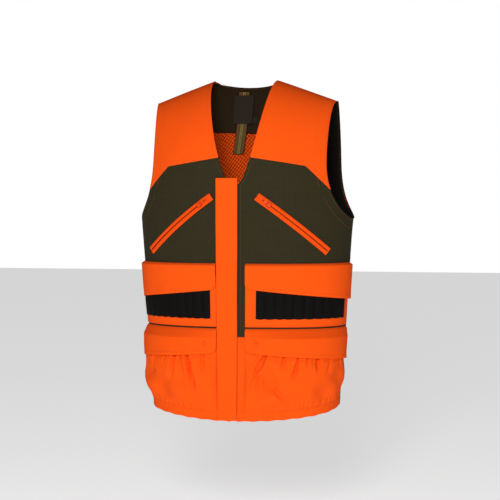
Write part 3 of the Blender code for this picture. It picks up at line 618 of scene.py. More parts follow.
def noise(tree, vector, scale, detail=2.0):
    made = node(tree, "ShaderNodeTexNoise", inputs={"Scale": scale, "Detail": detail, "Roughness": 0.5})
    tree.links.new(vector, made.inputs["Vector"])
    return made.outputs["Fac"]


def blended(tree, factor, first, second):
    """A colour between two, by factor; either may be a socket."""
    made = node(tree, "ShaderNodeMix", data_type="RGBA")
    for socket, value in ((made.inputs[6], first), (made.inputs[7], second)):
        if isinstance(value, tuple):
            socket.default_value = (*value, 1)
        else:
            tree.links.new(value, socket)
    if isinstance(factor, float):
        made.inputs[0].default_value = factor
    else:
        tree.links.new(factor, made.inputs[0])
    return made.outputs[2]


def bumped(tree, surface, height, strength):
    bump = node(tree, "ShaderNodeBump", inputs={"Strength": strength, "Distance": 0.0004})
    tree.links.new(height, bump.inputs["Height"])
    tree.links.new(bump.outputs[0], surface.inputs["Normal"])


def thread_wave(tree, value, pitch, offset=0.0):
    """0 to 1 and back once a pitch."""
    turned = maths(tree, "MULTIPLY_ADD", value, 2 * pi / pitch, offset)
    return maths(tree, "MULTIPLY_ADD", maths(tree, "SINE", turned), 0.5, 0.5)


def woven(name, colour, shade, pitch=0.0007, roughness=0.9, strength=0.3):
    """Plain weave: threads over and under, a little uneven in colour."""
    made, tree, surface = shader(name, roughness, specular=0.06)
    uv, across, up = across_and_up(tree)
    weft = thread_wave(tree, across, pitch)
    warp = thread_wave(tree, up, pitch, pi / 2)
    weave = maths(tree, "ADD", maths(tree, "MULTIPLY", weft, warp), maths(
        tree, "MULTIPLY", maths(tree, "SUBTRACT", 1.0, weft), maths(tree, "SUBTRACT", 1.0, warp)))
    fine = noise(tree, uv, 900.0, 2.0)
    wide = noise(tree, uv, 22.0, 3.0)
    uneven = maths(tree, "ADD", maths(tree, "MULTIPLY", fine, 0.5), maths(tree, "MULTIPLY", wide, 0.5))
    factor = maths(tree, "MULTIPLY", uneven, 0.25)
    factor = maths(tree, "ADD", factor, maths(tree, "MULTIPLY", weave, 0.12))
    tree.links.new(blended(tree, factor, colour, shade), surface.inputs["Base Color"])
    bumped(tree, surface, maths(tree, "ADD", weave, maths(tree, "MULTIPLY", fine, 0.6)), strength)
    return made


def ripstop(name, colour, line):
    """Close weave with a raised square grid."""
    made, tree, surface = shader(name, 0.85, specular=0.10)
    uv, across, up = across_and_up(tree)

    def lines(value):
        there = maths(tree, "FRACT", maths(tree, "MULTIPLY_ADD", value, 1 / RIPSTOP_GRID, 100.0))
        edge = maths(tree, "ABSOLUTE", maths(tree, "SUBTRACT", there, 0.5))
        return maths(tree, "SMOOTH_MIN", maths(tree, "MULTIPLY", maths(tree, "MAXIMUM", maths(
            tree, "SUBTRACT", 0.13, edge), 0.0), 12.0), 1.0, 0.1)
    grid = maths(tree, "MAXIMUM", lines(across), lines(up))
    weave = maths(tree, "MULTIPLY", thread_wave(tree, across, 0.0008), thread_wave(tree, up, 0.0008))
    fine = noise(tree, uv, 700.0, 2.0)
    wide = noise(tree, uv, 26.0, 3.0)
    factor = maths(tree, "MULTIPLY_ADD", grid, 0.55, maths(tree, "MULTIPLY", fine, 0.25))
    factor = maths(tree, "ADD", factor, maths(tree, "MULTIPLY", wide, 0.2))
    tree.links.new(blended(tree, factor, colour, line), surface.inputs["Base Color"])
    height = maths(tree, "ADD", grid, maths(tree, "MULTIPLY", weave, 0.5))
    bumped(tree, surface, height, 0.4)
    return made


def elastic(name, colour, shine):
    """Knitted elastic: fine ribs along the band and soft vertical cords."""
    made, tree, surface = shader(name, 0.65, specular=0.07)
    uv, across, up = across_and_up(tree)
    ribs = thread_wave(tree, up, 0.0011)
    cords = thread_wave(tree, across, 0.0017)
    fine = noise(tree, uv, 500.0, 2.0)
    factor = maths(tree, "MULTIPLY", maths(tree, "ADD", ribs, fine), 0.4)
    tree.links.new(blended(tree, factor, colour, shine), surface.inputs["Base Color"])
    bumped(tree, surface, maths(tree, "ADD", ribs, maths(tree, "MULTIPLY", cords, 0.5)), 0.5)
    return made


def plain(name, colour, roughness, metallic=0.0, specular=0.5, grain=0.1):
    """An even finish with a faint grain."""
    made, tree, surface = shader(name, roughness, metallic, specular=specular)
    where = node(tree, "ShaderNodeTexCoord")
    speck = noise(tree, where.outputs["Object"], 1500.0, 2.0)
    darker = tuple(value * 0.7 for value in colour)
    speckled = blended(tree, maths(tree, "MULTIPLY", speck, grain * 3), colour, darker)
    tree.links.new(speckled, surface.inputs["Base Color"])
    bumped(tree, surface, speck, grain)
    return made


def ribbon(name):
    """Woven ribbon: olive brown with a dark middle between two pale lines, and dark selvedges."""
    made, tree, surface = shader(name, 0.7, specular=0.2)
    uv, across, up = across_and_up(tree)
    ramp = node(tree, "ShaderNodeValToRGB")
    ramp.color_ramp.interpolation = "CONSTANT"
    olive, pale = (0.12, 0.078, 0.022), (0.40, 0.30, 0.075)
    dark, tan = (0.012, 0.006, 0.003), (0.17, 0.075, 0.018)
    stops = [(0.0, dark), (0.025, tan), (0.22, olive), (0.355, dark), (0.385, pale), (0.43, dark),
             (0.445, pale), (0.475, dark), (0.53, pale), (0.56, olive), (0.585, pale), (0.625, dark),
             (0.65, olive), (0.80, tan), (0.975, dark)]
    elements = ramp.color_ramp.elements
    while len(elements) < len(stops):
        elements.new(0.5)
    for element, (spot, colour) in zip(elements, stops):
        element.position = spot
        element.color = (*colour, 1)
    tree.links.new(across, ramp.inputs[0])
    ribs = thread_wave(tree, up, 0.0009)
    shade = blended(tree, maths(tree, "MULTIPLY", ribs, 0.35), ramp.outputs[0], (0.03, 0.02, 0.008))
    tree.links.new(shade, surface.inputs["Base Color"])
    bumped(tree, surface, ribs, 0.5)
    return made


ORANGE = woven("orange_cloth", (1.0, 0.105, 0.0058), (0.90, 0.060, 0.0030))
OLIVE = ripstop("olive_ripstop", (0.021, 0.0175, 0.0060), (0.044, 0.037, 0.017))
FACING = woven("dark_facing", (0.030, 0.018, 0.008), (0.020, 0.012, 0.005))
BLACK = woven("black_cloth", (0.007, 0.006, 0.005), (0.012, 0.010, 0.008))
ELASTIC = elastic("black_elastic", (0.0026, 0.0022, 0.0020), (0.0060, 0.0052, 0.0046))
NET = plain("dark_net", (0.030, 0.005, 0.003), 0.85, specular=0.1, grain=0.15)
RIBBON = ribbon("striped_ribbon")
LABEL = woven("dark_label", (0.030, 0.022, 0.016), (0.044, 0.033, 0.024), pitch=0.0005, roughness=0.75)
TAPE = woven("orange_tape", (1.0, 0.092, 0.005), (0.80, 0.045, 0.003), pitch=0.0011, strength=0.5)
# Dark red of the zip coil; it is also the painted shade on the plates in the pullers' holes and round the
# sliders' edges.
COIL_AND_SHADE = plain("red_coil_and_painted_shade", (0.07, 0.002, 0.001), 0.8, specular=0.05)
LACQUER = plain("orange_lacquer", (0.92, 0.070, 0.004), 0.38, specular=0.12, grain=0.03)
METAL = plain("dark_metal", (0.10, 0.085, 0.075), 0.35, metallic=1.0, grain=0.05)
PLASTIC = plain("zip_plastic", (0.9, 0.075, 0.006), 0.4)
COVERED_SNAP = plain("covered_snap", (0.95, 0.088, 0.005), 0.85, specular=0.1)
ORANGE_THREAD = plain("orange_thread", (0.95, 0.07, 0.005), 0.6)
DEEP_THREAD = plain("deep_orange_thread", (0.62, 0.032, 0.004), 0.6)
RUST_THREAD = plain("rust_thread", (0.30, 0.045, 0.012), 0.6)
DARK_THREAD = plain("dark_thread", (0.01, 0.008, 0.006), 0.7)


# ---------------------------------------------------------------- how pieces move


def with_front(obj, side_name, *nodes, slot=None):
    """Bakes its placement into the mesh and hides the CAD parts it stands for."""
    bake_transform(obj)
    stands_for(nodes)


def on_body(obj, body, *nodes, slot=None):
    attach(obj, body)
    stands_for(nodes)


def stands_for(nodes):
    if nodes:
        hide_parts(*nodes)
        for name in nodes:
            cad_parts[name].hide_render = True


# ---------------------------------------------------------------- fronts

def centre_edge(share):
    height = mix(ARMPIT_HEIGHT, YOKE_HEIGHT, share)
    return neckline(height), height


def along_armhole(start, stop, back=False, inset=0.0):
    def at(share):
        return armhole(mix(start, stop, share), back, inset)
    return at


def yoke_edge(share):
    height = height_at(0.05, mix(drop_at(0.05, YOKE_HEIGHT), drop_at(0.05, 0.0), share))
    height = np.where(share < 1, height, shoulder_line(NECK_HALF))
    return neckline(height), height


def near_edge(distance, width, extra):
    """Extra thickness where cloth is turned under along an edge."""
    return extra * smooth((width - distance) / 0.0025 + 0.5)


def hem_thick(girth, height):
    return CLOTH + near_edge(height - hem(girth), HEM_BAND, 0.0006)


def front_panels(side_name, side):
    yoke_spot = patch(yoke_seam, lambda share: ridge(mix(NECK_HALF, SHOULDER_HALF, share)), yoke_edge,
                      along_armhole(YOKE_SHARE, 1))
    yoke = Layer(yoke_spot, 0.0022, side)
    obj = cloth("front_yoke_cloth_" + side_name, yoke, spaced(0.15, 0.0028), spaced(0.23, 0.0028), ORANGE)
    with_front(obj, side_name, "front_yoke_" + side_name, slot="orange_cloth")

    def chest_line(share):
        return mix(FRONT_EDGE, SIDE, share), ARMPIT_HEIGHT + 0 * share
    chest_spot = patch(chest_line, yoke_seam, centre_edge, along_armhole(0, YOKE_SHARE))
    lower = between(FRONT_EDGE, SIDE, SKIRT_TOP, ARMPIT_HEIGHT)
    body = Layer(stacked(lower, chest_spot, 0.6), OUTER_LIFT, side)
    obj = cloth("front_body_cloth_" + side_name, body, spaced(0.288, 0.0028), spaced(0.38, 0.0028), OLIVE)
    with_front(obj, side_name, "front_body_" + side_name, slot="olive_ripstop")

    def skirt_lift(girth, height):
        above = height - hem(girth)
        pucker = 0.0005 * np.sin(girth / 0.0016 + 2.2 * np.sin(girth / 0.011)) * bell(above - HEM_BAND, 0.006)
        return OUTER_LIFT + pucker
    skirt_spot = between(FRONT_EDGE, SIDE, lambda girth: hem(girth) - 0.0006 * np.sin(girth * 170), SKIRT_TOP)
    skirt = Layer(skirt_spot, skirt_lift, side, hem_thick)
    obj = cloth("front_skirt_cloth_" + side_name, skirt, spaced(0.288, 0.002), spaced(0.17, 0.0026), ORANGE)
    on_body(obj, "front_" + side_name, "front_skirt_" + side_name, slot="orange_cloth")

    shares = np.linspace(0, 1, 240)
    high = np.linspace(0.015, 0.985, 200)
    neck = yoke_edge(high)
    yoke_rows = [
        seam(yoke, neck[0] + 0.0075, neck[1]),
        seam(yoke, *armhole(mix(YOKE_SHARE + 0.02, 0.985, shares), False, YOKE_ARM_ROWS[0])),
        seam(yoke, *armhole(mix(YOKE_SHARE + 0.01, 0.99, shares), False, YOKE_ARM_ROWS[1])),
        *(seam(yoke, yoke_seam(shares)[0], yoke_seam(shares)[1] + above) for above in SEAM_ROWS),
        seam(yoke, *yoke_spot(mix(0.03, 0.97, shares), 0 * shares + 0.985)),
    ]
    with_front(thread("yoke_stitches_" + side_name, yoke_rows, DEEP_THREAD), side_name)
    down = np.linspace(YOKE_HEIGHT - 0.006, SKIRT_TOP + 0.004, 300)
    chest_rows = [
        seam(body, neckline(down) + 0.0062, down),
        seam(body, *armhole(mix(0.02, YOKE_SHARE - 0.015, shares), False, 0.023)),
        seam(body, *armhole(mix(0.02, YOKE_SHARE - 0.008, shares), False, 0.0045)),
    ]
    with_front(thread("chest_stitches_" + side_name, chest_rows, RUST_THREAD), side_name)
    level_girths = np.linspace(FRONT_EDGE + 0.003, SIDE - 0.003, 300)
    skirt_down = np.linspace(SKIRT_TOP - 0.004, HEM_HEIGHT + 0.004, 200)
    skirt_rows = [
        seam(skirt, level_girths, hem(level_girths) + HEM_BAND),
        seam(skirt, FRONT_EDGE + 0.0062, skirt_down),
        seam(skirt, FRONT_EDGE + 0.0125, skirt_down),
    ]
    on_body(thread("skirt_stitches_" + side_name, skirt_rows, DEEP_THREAD), "front_" + side_name)


def armhole_facing(side_name, side, back):
    """The black strip inside an armhole; the back one is wide and is turned over the edge."""
    width, turned = (BACK_FACING, 0.002) if back else (ARMHOLE_FACING, 0.0)

    def spot(u, w):
        edge, inner = armhole(w, back, -turned), armhole(w, back, width)
        share = u if back else 1 - u
        girth = mix(edge[0], inner[0], share)
        return girth, height_at(girth, mix(drop_at(*edge), drop_at(*inner), share))
    rim_girth, rim_height = armhole(np.linspace(0, 1, 400), True)

    def wrapped(girth, height):
        outside = np.interp(height, rim_height, rim_girth) - girth
        return mix(LINING_LIFT - 0.0009, OUTER_LIFT + 0.0022, smooth((outside + 0.0010) / 0.0022))
    which = "back_" if back else "front_"
    layer = Layer(spot, wrapped if back else LINING_LIFT, side, LINING_CLOTH)
    across = spaced(0.026, 0.0035)
    if back:
        across = np.concatenate([np.linspace(0, 0.12, 9)[:-1], np.linspace(0.12, 1, 9)])
    obj = cloth(which + "armhole_facing_cloth_" + side_name, layer, across, spaced(0.36, 0.0035), BLACK,
                flat=(width + turned, 0.36))
    if back:
        on_body(obj, "vest_back", which + "armhole_facing_" + side_name, slot="black_cloth")
    else:
        with_front(obj, side_name, which + "armhole_facing_" + side_name, slot="black_cloth")


# ---------------------------------------------------------------- net

NET_ACROSS, NET_DOWN = 0.0085, 0.0096
STRAND_WIDE, STRAND_THICK = 0.0010, 0.0006


def net(name, inside, side=1, both=False):
    """A diamond net laid on the torso wherever inside(girth, height) holds."""
    lowest = float(drop_at(0.15, HEM_HEIGHT))
    rows = int(lowest / (NET_DOWN / 2)) + 2
    first, last = -1, int(SIDE / NET_ACROSS) + 1
    if both:
        last = int((BACK - SIDE) / NET_ACROSS) + 2
        first = -last
    points, faces, count = [], [], 0
    steps = np.arange(rows)
    for column in range(first, last + 1):
        for lean in (0.5, -0.5):
            across = NET_ACROSS * (column + lean * (steps % 2))
            if both:
                mirrored = np.where(across < 0, -1, 1)
                girth = BACK - np.abs(across)
            else:
                mirrored = side
                girth = across
            drop = steps * NET_DOWN / 2
            height = height_at(girth, drop)
            there = inside(girth, height)
            base, normals = base_skin(girth, height)
            flip = np.stack([mirrored + 0 * steps, 1 + 0 * steps, 1 + 0 * steps], -1)
            base, normals = base * flip, normals * flip
            lift = (LINING_LIFT + 0.0005 + ripple(base) + (0.0001 if lean > 0 else -0.0001))[:, None]
            base = base + normals * lift
            cross = np.cross(normals, (0, 0, 1.0))
            cross /= np.maximum(np.linalg.norm(cross, axis=1, keepdims=True), 1e-9)
            ring = np.stack([
                base + cross * STRAND_WIDE / 2, base + normals * STRAND_THICK / 2,
                base - cross * STRAND_WIDE / 2, base - normals * STRAND_THICK / 2,
            ], 1)
            edges = np.flatnonzero(there[:-1] & there[1:])
            if not len(edges):
                continue
            for k in range(4):
                other = (k + 1) % 4
                faces.append(np.stack([
                    count + 4 * edges + k, count + 4 * edges + other,
                    count + 4 * (edges + 1) + other, count + 4 * (edges + 1) + k], 1))
            firsts = count + 4 * edges[~np.isin(edges - 1, edges)]
            lasts = count + 4 * (edges[~np.isin(edges + 1, edges)] + 1)
            faces.append(np.stack([firsts + k for k in (3, 2, 1, 0)], 1))
            faces.append(np.stack([lasts + k for k in (0, 1, 2, 3)], 1))
            points.append(ring.reshape(-1, 3))
            count += 4 * rows
    points, faces = np.concatenate(points), np.concatenate(faces)
    used = np.unique(faces)
    renumber = np.zeros(len(points), np.int64)
    renumber[used] = np.arange(len(used))
    return mesh_object(name, points[used], renumber[faces], NET)


def front_net(side_name, side):
    shares = np.linspace(0, 1, 400)
    arm_girth, arm_height = armhole(shares, False, ARMHOLE_FACING + 0.001)

    def inside(girth, height):
        limit = np.interp(height, arm_height, arm_girth, left=SIDE, right=arm_girth[-1])
        return (girth > np.maximum(neckline(height) + 0.010, 0.019)) & (girth < limit - 0.001) & (
            height > hem(girth) + 0.018) & (height < shoulder_line(0.0 * girth + 0.10) - 0.004) & (
            drop_at(girth, height) > 0.004)
    obj = net("front_net_" + side_name, inside, side)
    with_front(obj, side_name, "front_lining_" + side_name, slot="dark_net")


# ---------------------------------------------------------------- pockets

def loop_flap_low(girth):
    return mix(LOOP_FLAP_LOW, LOOP_FLAP_LOW_OUTER, girth / POCKET_END)


def cargo_flap_low(girth):
    return mix(CARGO_FLAP_LOW, CARGO_FLAP_LOW_OUTER, girth / POCKET_END)


def cargo_rise(girth, height, side):
    start = POCKET_STARTS[side]
    across = np.clip((girth - start) / (POCKET_END - start), 0, 1)
    low = hem(girth) + 0.004
    up = np.clip((height - low) / (CARGO_MOUTH - low), 0, 1)
    mouth = 1 - 0.35 * np.maximum(up - 0.6, 0) / 0.4
    return CARGO_BULGE * np.sin(pi * across) ** 0.6 * np.minimum(up / 0.35, 1) ** 0.7 * mouth


def loop_frame(side_name, side):
    start = POCKET_STARTS[side]
    top = FLAP_TOP - 0.022
    low_edge = LOOP_POCKET_LOW + 0.0165
    high_edge = top - 0.020

    def thick(girth, height):
        near_hole = np.maximum(np.maximum(WINDOW_STARTS[side] - girth, girth - WINDOW_END),
                               np.maximum(low_edge - height, height - high_edge))
        return CLOTH + near_edge(near_hole, 0.005, 0.0004)
    span = POCKET_END - start
    inner_share = (WINDOW_STARTS[side] - start) / span
    outer_share = (WINDOW_END - start) / span
    low_share = (low_edge - LOOP_POCKET_LOW) / (top - LOOP_POCKET_LOW)
    high_share = (high_edge - LOOP_POCKET_LOW) / (top - LOOP_POCKET_LOW)
    us = np.concatenate([crowded(10, 0, inner_share)[:-1], crowded(90, inner_share, outer_share)[:-1],
                         crowded(10, outer_share, 1)])
    ws = np.concatenate([crowded(9, 0, low_share)[:-1], crowded(24, low_share, high_share)[:-1],
                         crowded(9, high_share, 1)])

    def outside_window(girth, height):
        within = (girth > WINDOW_STARTS[side]) & (girth < WINDOW_END)
        return ~(within & (height > low_edge) & (height < high_edge))
    layer = Layer(between(start, POCKET_END, LOOP_POCKET_LOW, top), POCKET_LIFT, side, thick)
    obj = cloth("loop_frame_cloth_" + side_name, layer, us, ws, ORANGE, keep=outside_window)
    on_body(obj, "front_" + side_name, "loop_pocket_frame_" + side_name, slot="orange_cloth")
    girths = np.linspace(start + 0.003, POCKET_END - 0.003, 300)
    upright = np.linspace(low_edge - 0.002, high_edge, 80)
    whole_height = np.linspace(LOOP_POCKET_LOW + 0.003, top, 120)
    rows = [
        seam(layer, girths, LOOP_POCKET_LOW + EDGE_ROW),
        seam(layer, np.linspace(WINDOW_STARTS[side] - 0.002, WINDOW_END + 0.002, 260), low_edge - EDGE_ROW),
        seam(layer, WINDOW_STARTS[side] - EDGE_ROW, upright),
        seam(layer, WINDOW_END + EDGE_ROW, upright),
        seam(layer, start + EDGE_ROW, whole_height),
        seam(layer, POCKET_END - EDGE_ROW, whole_height),
    ]
    on_body(thread("loop_frame_stitches_" + side_name, rows, DEEP_THREAD), "front_" + side_name)

    backing_spot = between(WINDOW_STARTS[side] - 0.002, WINDOW_END + 0.002,
                           low_edge - 0.002, high_edge + 0.002)
    backing = Layer(backing_spot, 0.00325, side, 0.0005)
    obj = cloth("loop_backing_" + side_name, backing, spaced(0.21, 0.004), spaced(0.07, 0.004), BLACK)
    on_body(obj, "front_" + side_name, slot="black_cloth")


def loop_band(side_name, side):
    """The elastic band, sewn down between one loop and the next."""
    start, end = WINDOW_STARTS[side] + 0.0005, WINDOW_END - 0.0005
    low, high = LOOP_POCKET_LOW + 0.0165 + 0.0012, FLAP_TOP - 0.044
    random = np.random.default_rng(31 + side)
    sewn = np.linspace(start, end, LOOPS + 1)
    sewn[1:-1] += random.uniform(-0.0022, 0.0022, LOOPS - 1)
    lean = random.uniform(-0.0022, 0.0022, LOOPS + 1)
    lean[-4:] -= np.array([0.001, 0.002, 0.003, 0.002])
    full = random.uniform(0.75, 1.0, LOOPS)

    def lines_at(height):
        up = (height - low) / (high - low)
        return sewn + lean * (up[..., None] - 0.5)

    def loop_share(girth, height):
        lines = lines_at(height)
        which = np.clip((girth[..., None] > lines).sum(-1) - 1, 0, LOOPS - 1)
        first = np.take_along_axis(lines, which[..., None], -1)[..., 0]
        last = np.take_along_axis(lines, which[..., None] + 1, -1)[..., 0]
        return np.clip((girth - first) / (last - first), 0, 1), which

    def rise(girth, height):
        girth, height = np.broadcast_arrays(girth, height)
        share, which = loop_share(girth, height)
        arch = np.sin(pi * share)
        up = (height - low) / (high - low)
        crumple = 0.0003 * np.sin(girth * 1400 + 9 * np.sin(height * 90 + which * 2)) * arch
        return 0.0041 + (LOOP_BULGE * full[which] * arch ** 0.55 + crumple) * (1 - 0.2 * np.cos(2 * pi * up))

    def spot(u, w):
        girth = mix(start, end, u)
        share, _ = loop_share(girth, mix(low, high, w))
        scallop = 0.0011 * np.sin(pi * share)
        return girth, mix(low - scallop, high + scallop, w)
    layer = Layer(spot, rise, side, 0.0010)
    obj = cloth("loop_band_" + side_name, layer, spaced(0.21, 0.0011), spaced(0.075, 0.0035), ELASTIC,
                held="gathered", fullness=1.25)
    on_body(obj, "front_" + side_name, "cartridge_loops_" + side_name, slot="black_elastic")
    heights = np.linspace(low + 0.001, high - 0.001, 60)
    rows = [seam(layer, lines_at(heights)[:, k], heights) for k in range(1, LOOPS)]
    on_body(thread("loop_band_stitches_" + side_name, rows, DARK_THREAD), "front_" + side_name)


def flap_piece(name, top, low, rise, side_name, side, inner_radius, flare):
    """A flap and the sewn-down strip above it, as one cloth that bends along the seam."""
    start = POCKET_STARTS[side]
    seam_height = top + 0.0035
    spot = round_cornered(start, POCKET_END, low, seam_height, inner=inner_radius, outer=0.004, flare=flare)

    def lift(girth, height):
        tucked = smooth((height - (top - 0.001)) / 0.005)
        edge_curl = 0.0009 * bell(height - low(girth), 0.012) * waves(
            np.stack([girth, girth * 0, height * 0], -1), 0.06, 17 + side)
        return mix(rise(girth, np.minimum(height, top)), 0.0031, tucked) + edge_curl

    def thick(girth, height):
        edge = np.minimum(height - low(girth), np.minimum(girth - start, POCKET_END - girth))
        return CLOTH + near_edge(edge, 0.006, 0.0004) - 0.0006 * smooth((height - top) / 0.004)
    layer = Layer(spot, lift, side, thick)
    length = abs(seam_height - low(POCKET_END))
    ws = np.concatenate([crowded(10, 0, 0.16, 1.6)[:-1], crowded(int(length * 0.84 / 0.0022), 0.16, 1)])
    obj = cloth(name + "_cloth_" + side_name, layer, spaced(POCKET_END - start, 0.0026), ws, ORANGE)
    body = name + "_" + side_name
    front = "front_" + side_name
    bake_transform(obj)
    stands_for((body, name + "_welt_" + side_name))
    girths = np.linspace(start + 0.012, POCKET_END - 0.007, 260)
    side_heights = np.linspace(low(start) + 0.012, top - 0.004, 60)
    outer_heights = np.linspace(low(POCKET_END) + 0.008, top - 0.004, 60)
    rows = [
        seam(layer, girths, low(girths) + 0.0068),
        seam(layer, start + 0.0065, side_heights),
        seam(layer, POCKET_END - 0.0065, outer_heights),
    ]
    threads = thread(name + "_stitches_" + side_name, rows, DEEP_THREAD)
    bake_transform(threads)
    top_row = [seam(layer, np.linspace(start + 0.002, POCKET_END - 0.002, 280), top + 0.0018)]
    threads = thread(name + "_top_stitches_" + side_name, top_row, DEEP_THREAD)
    on_body(threads, front)


# Where a pouch fold starts and ends as (girth, height), its depth and its width
FOLDS = {
    1: [
        ((0.080, -0.578), (0.030, -0.668), 0.0052, 0.0042),
        ((0.119, -0.580), (0.106, -0.634), 0.0022, 0.0034),
        ((0.145, -0.578), (0.135, -0.656), 0.0055, 0.0040),
        ((0.166, -0.582), (0.160, -0.636), 0.0022, 0.0032),
        ((0.190, -0.582), (0.181, -0.640), 0.0030, 0.0034),
        ((0.216, -0.585), (0.206, -0.640), 0.0030, 0.0034),
        ((0.244, -0.590), (0.238, -0.628), 0.0018, 0.0036),
        ((0.060, -0.640), (0.046, -0.690), 0.0022, 0.0050),
        ((0.100, -0.668), (0.150, -0.712), 0.0020, 0.0070),
    ],
    -1: [
        ((0.158, -0.578), (0.176, -0.640), 0.0030, 0.0038),
        ((0.134, -0.578), (0.153, -0.660), 0.0036, 0.0036),
        ((0.124, -0.578), (0.136, -0.634), 0.0016, 0.0030),
        ((0.113, -0.578), (0.090, -0.686), 0.0056, 0.0042),
        ((0.095, -0.578), (0.102, -0.645), 0.0022, 0.0032),
        ((0.186, -0.582), (0.214, -0.650), 0.0026, 0.0050),
        ((0.240, -0.590), (0.262, -0.650), 0.0016, 0.0050),
        ((0.072, -0.590), (0.066, -0.670), 0.0022, 0.0050),
    ],
}


def crease(girth, height, start, end, depth, width):
    """A fold pressed into cloth: a valley with a soft roll on each side, fading towards its end."""
    run = (end[0] - start[0], end[1] - start[1])
    length = sqrt(run[0] ** 2 + run[1] ** 2)
    along = ((girth - start[0]) * run[0] + (height - start[1]) * run[1]) / length ** 2
    across = ((girth - start[0]) * run[1] - (height - start[1]) * run[0]) / length
    bowed = across + 0.0012 * np.sin(along * 5 + start[0] * 90)
    spread = width * (0.75 + 0.9 * np.clip(along, 0, 1))
    fade = smooth((1 - along) / 0.75) * smooth((along + 0.25) / 0.2)
    valley = -bell(bowed, spread)
    rolls = 0.5 * bell(np.abs(bowed) - 2.1 * spread, 1.3 * spread)
    return depth * fade * (1.5 * valley + rolls)


def cargo_pouch(side_name, side):
    start = POCKET_STARTS[side]
    low = HEM_BAND - 0.001

    def spot(u, w):
        girth = mix(start, POCKET_END, u)
        return girth, mix(hem(girth) + low, CARGO_MOUTH, w)

    def lift(girth, height):
        base = cargo_rise(girth, height, side)
        above = np.clip(height - hem(girth) - low, 0, 1)
        across = np.clip((girth - start) / (POCKET_END - start), 0, 1)
        edge = np.clip(np.minimum(across, 1 - across) / 0.15, 0, 1)
        folds = 1.9 * sum(crease(girth, height, *fold) for fold in FOLDS[side])
        sag = 0.0044 * waves(np.stack([girth * side, 0 * girth, height * 0.8], -1), 0.055, 23 + side)
        tuck = np.minimum(above / 0.045, 1) ** 0.66
        full = base * tuck + 0.0036 * bell(above - 0.030, 0.015) * np.sin(pi * across)
        pucker = 0.0011 * np.sin(girth / 0.0021 + 2.5 * np.sin(girth / 0.013)) * bell(above - 0.004, 0.010)
        loose = (folds + sag * smooth(above / 0.03) + pucker * smooth(above / 0.003)) * edge
        covered = smooth((height - cargo_flap_low(girth) + 0.010) / 0.010)
        loose = np.minimum(loose, mix(0.004, 0.0004, covered))
        return np.maximum(0.0037 + full + loose * smooth(above / 0.008), 0.0037)
    layer = Layer(spot, lift, side, 0.0012)
    obj = cloth("cargo_pouch_cloth_" + side_name, layer, spaced(POCKET_END - start, 0.0014),
                spaced(0.16, 0.0017), ORANGE, held="gathered", fullness=1.1)
    on_body(obj, "front_" + side_name, "cargo_pouch_" + side_name, slot="orange_cloth")
    heights = np.linspace(hem(start) + low + 0.004, CARGO_MOUTH - 0.002, 120)
    outer_heights = np.linspace(hem(POCKET_END) + low + 0.004, CARGO_MOUTH - 0.002, 120)
    girths = np.linspace(start + 0.004, POCKET_END - 0.004, 300)
    rows = [
        seam(layer, start + 0.002, heights),
        seam(layer, POCKET_END - 0.002, outer_heights),
        seam(layer, girths, hem(girths) + low + 0.0018),
    ]
    on_body(thread("cargo_pouch_stitches_" + side_name, rows, DEEP_THREAD), "front_" + side_name)


def loop_flap_rise(girth, height):
    return LOOP_FLAP_LIFT + 0 * girth


def cargo_flap_rise(side):
    def rise(girth, height):
        over = POCKET_LIFT + 0.0040 + cargo_rise(girth, np.minimum(height, CARGO_MOUTH), side)
        share = (height - CARGO_MOUTH) / (CARGO_FLAP_TOP - CARGO_MOUTH)
        return mix(over, 0.0062, np.clip(share, 0, 1))
    return rise


# ---------------------------------------------------------------- zips

def circle_through(a, b, c):
    first, second = b - a, c - a
    across = first.cross(second)
    towards = second.length_squared * across.cross(first) + first.length_squared * second.cross(across)
    return a + towards / (2 * across.length_squared), across.normalized()


def cad_skin(girth, height, lift, side=1):
    """A point of the CAD's own form, with no slack."""
    point, normal = base_skin(girth, height)
    made = point + lift * normal
    return Vector((float(made[0]) * side, float(made[1]), float(made[2])))


class Arc:
    """The circle that a curved zip follows."""

    def __init__(self, ends, middle):
        self.centre, self.axis = circle_through(ends[0], middle, ends[1])
        self.start = ends[0] - self.centre
        other = ends[1] - self.centre
        self.sweep = self.start.angle(other)
        if self.axis.dot(self.start.cross(other)) < 0:
            self.axis.negate()
        self.length = self.start.length * self.sweep

    def at(self, share, across, out):
        """Points at shares of the run, across the tape, and out from it."""
        share, across, out = np.broadcast_arrays(*(np.asarray(v, float) for v in (share, across, out)))
        arm = np.array(self.start.normalized())
        side = np.array(self.axis.cross(self.start).normalized())
        angle = (share * self.sweep)[..., None]
        radial = arm * np.cos(angle) + side * np.sin(angle)
        along = np.array(self.centre) + radial * (self.start.length + out[..., None])
        return along + np.array(self.axis) * across[..., None]


def arc_tape(name, arc, look, bow):
    """One piece of tape with folded edges, laid along an arc, bowed down to the cloth at its edges."""
    across = np.linspace(-TAPE_WIDTH / 2, TAPE_WIDTH / 2, 21)
    shares = np.linspace(0, 1, 90)
    u, w = np.meshgrid(across, shares)
    edge = np.abs(u) / (TAPE_WIDTH / 2)
    sink = -bow * edge ** 2
    trench = -0.0004 * bell(u, 0.0016)
    fold = 0.00035 * smooth((edge - 0.52) / 0.06)
    outer = arc.at(w, u, TAPE_THICK + sink + trench + fold)
    inner = arc.at(w, u, sink)
    spots = np.stack([u, w * arc.length], -1)
    turn = np.cross(outer[0, 1] - outer[0, 0], outer[1, 0] - outer[0, 0])
    outward = (outer[0, 0] - np.array(arc.centre))
    return slab(name, inner, outer, look, spots, flip=float(turn @ outward) < 0)


BOX_FACES = [(0, 1, 3, 2), (4, 6, 7, 5), (0, 4, 5, 1), (2, 3, 7, 6), (0, 2, 6, 4), (1, 5, 7, 3)]
COIL_END = 0.985
COIL_OUT = 0.0011
COIL_PITCH = 0.0011
COIL_REACH = 0.0013


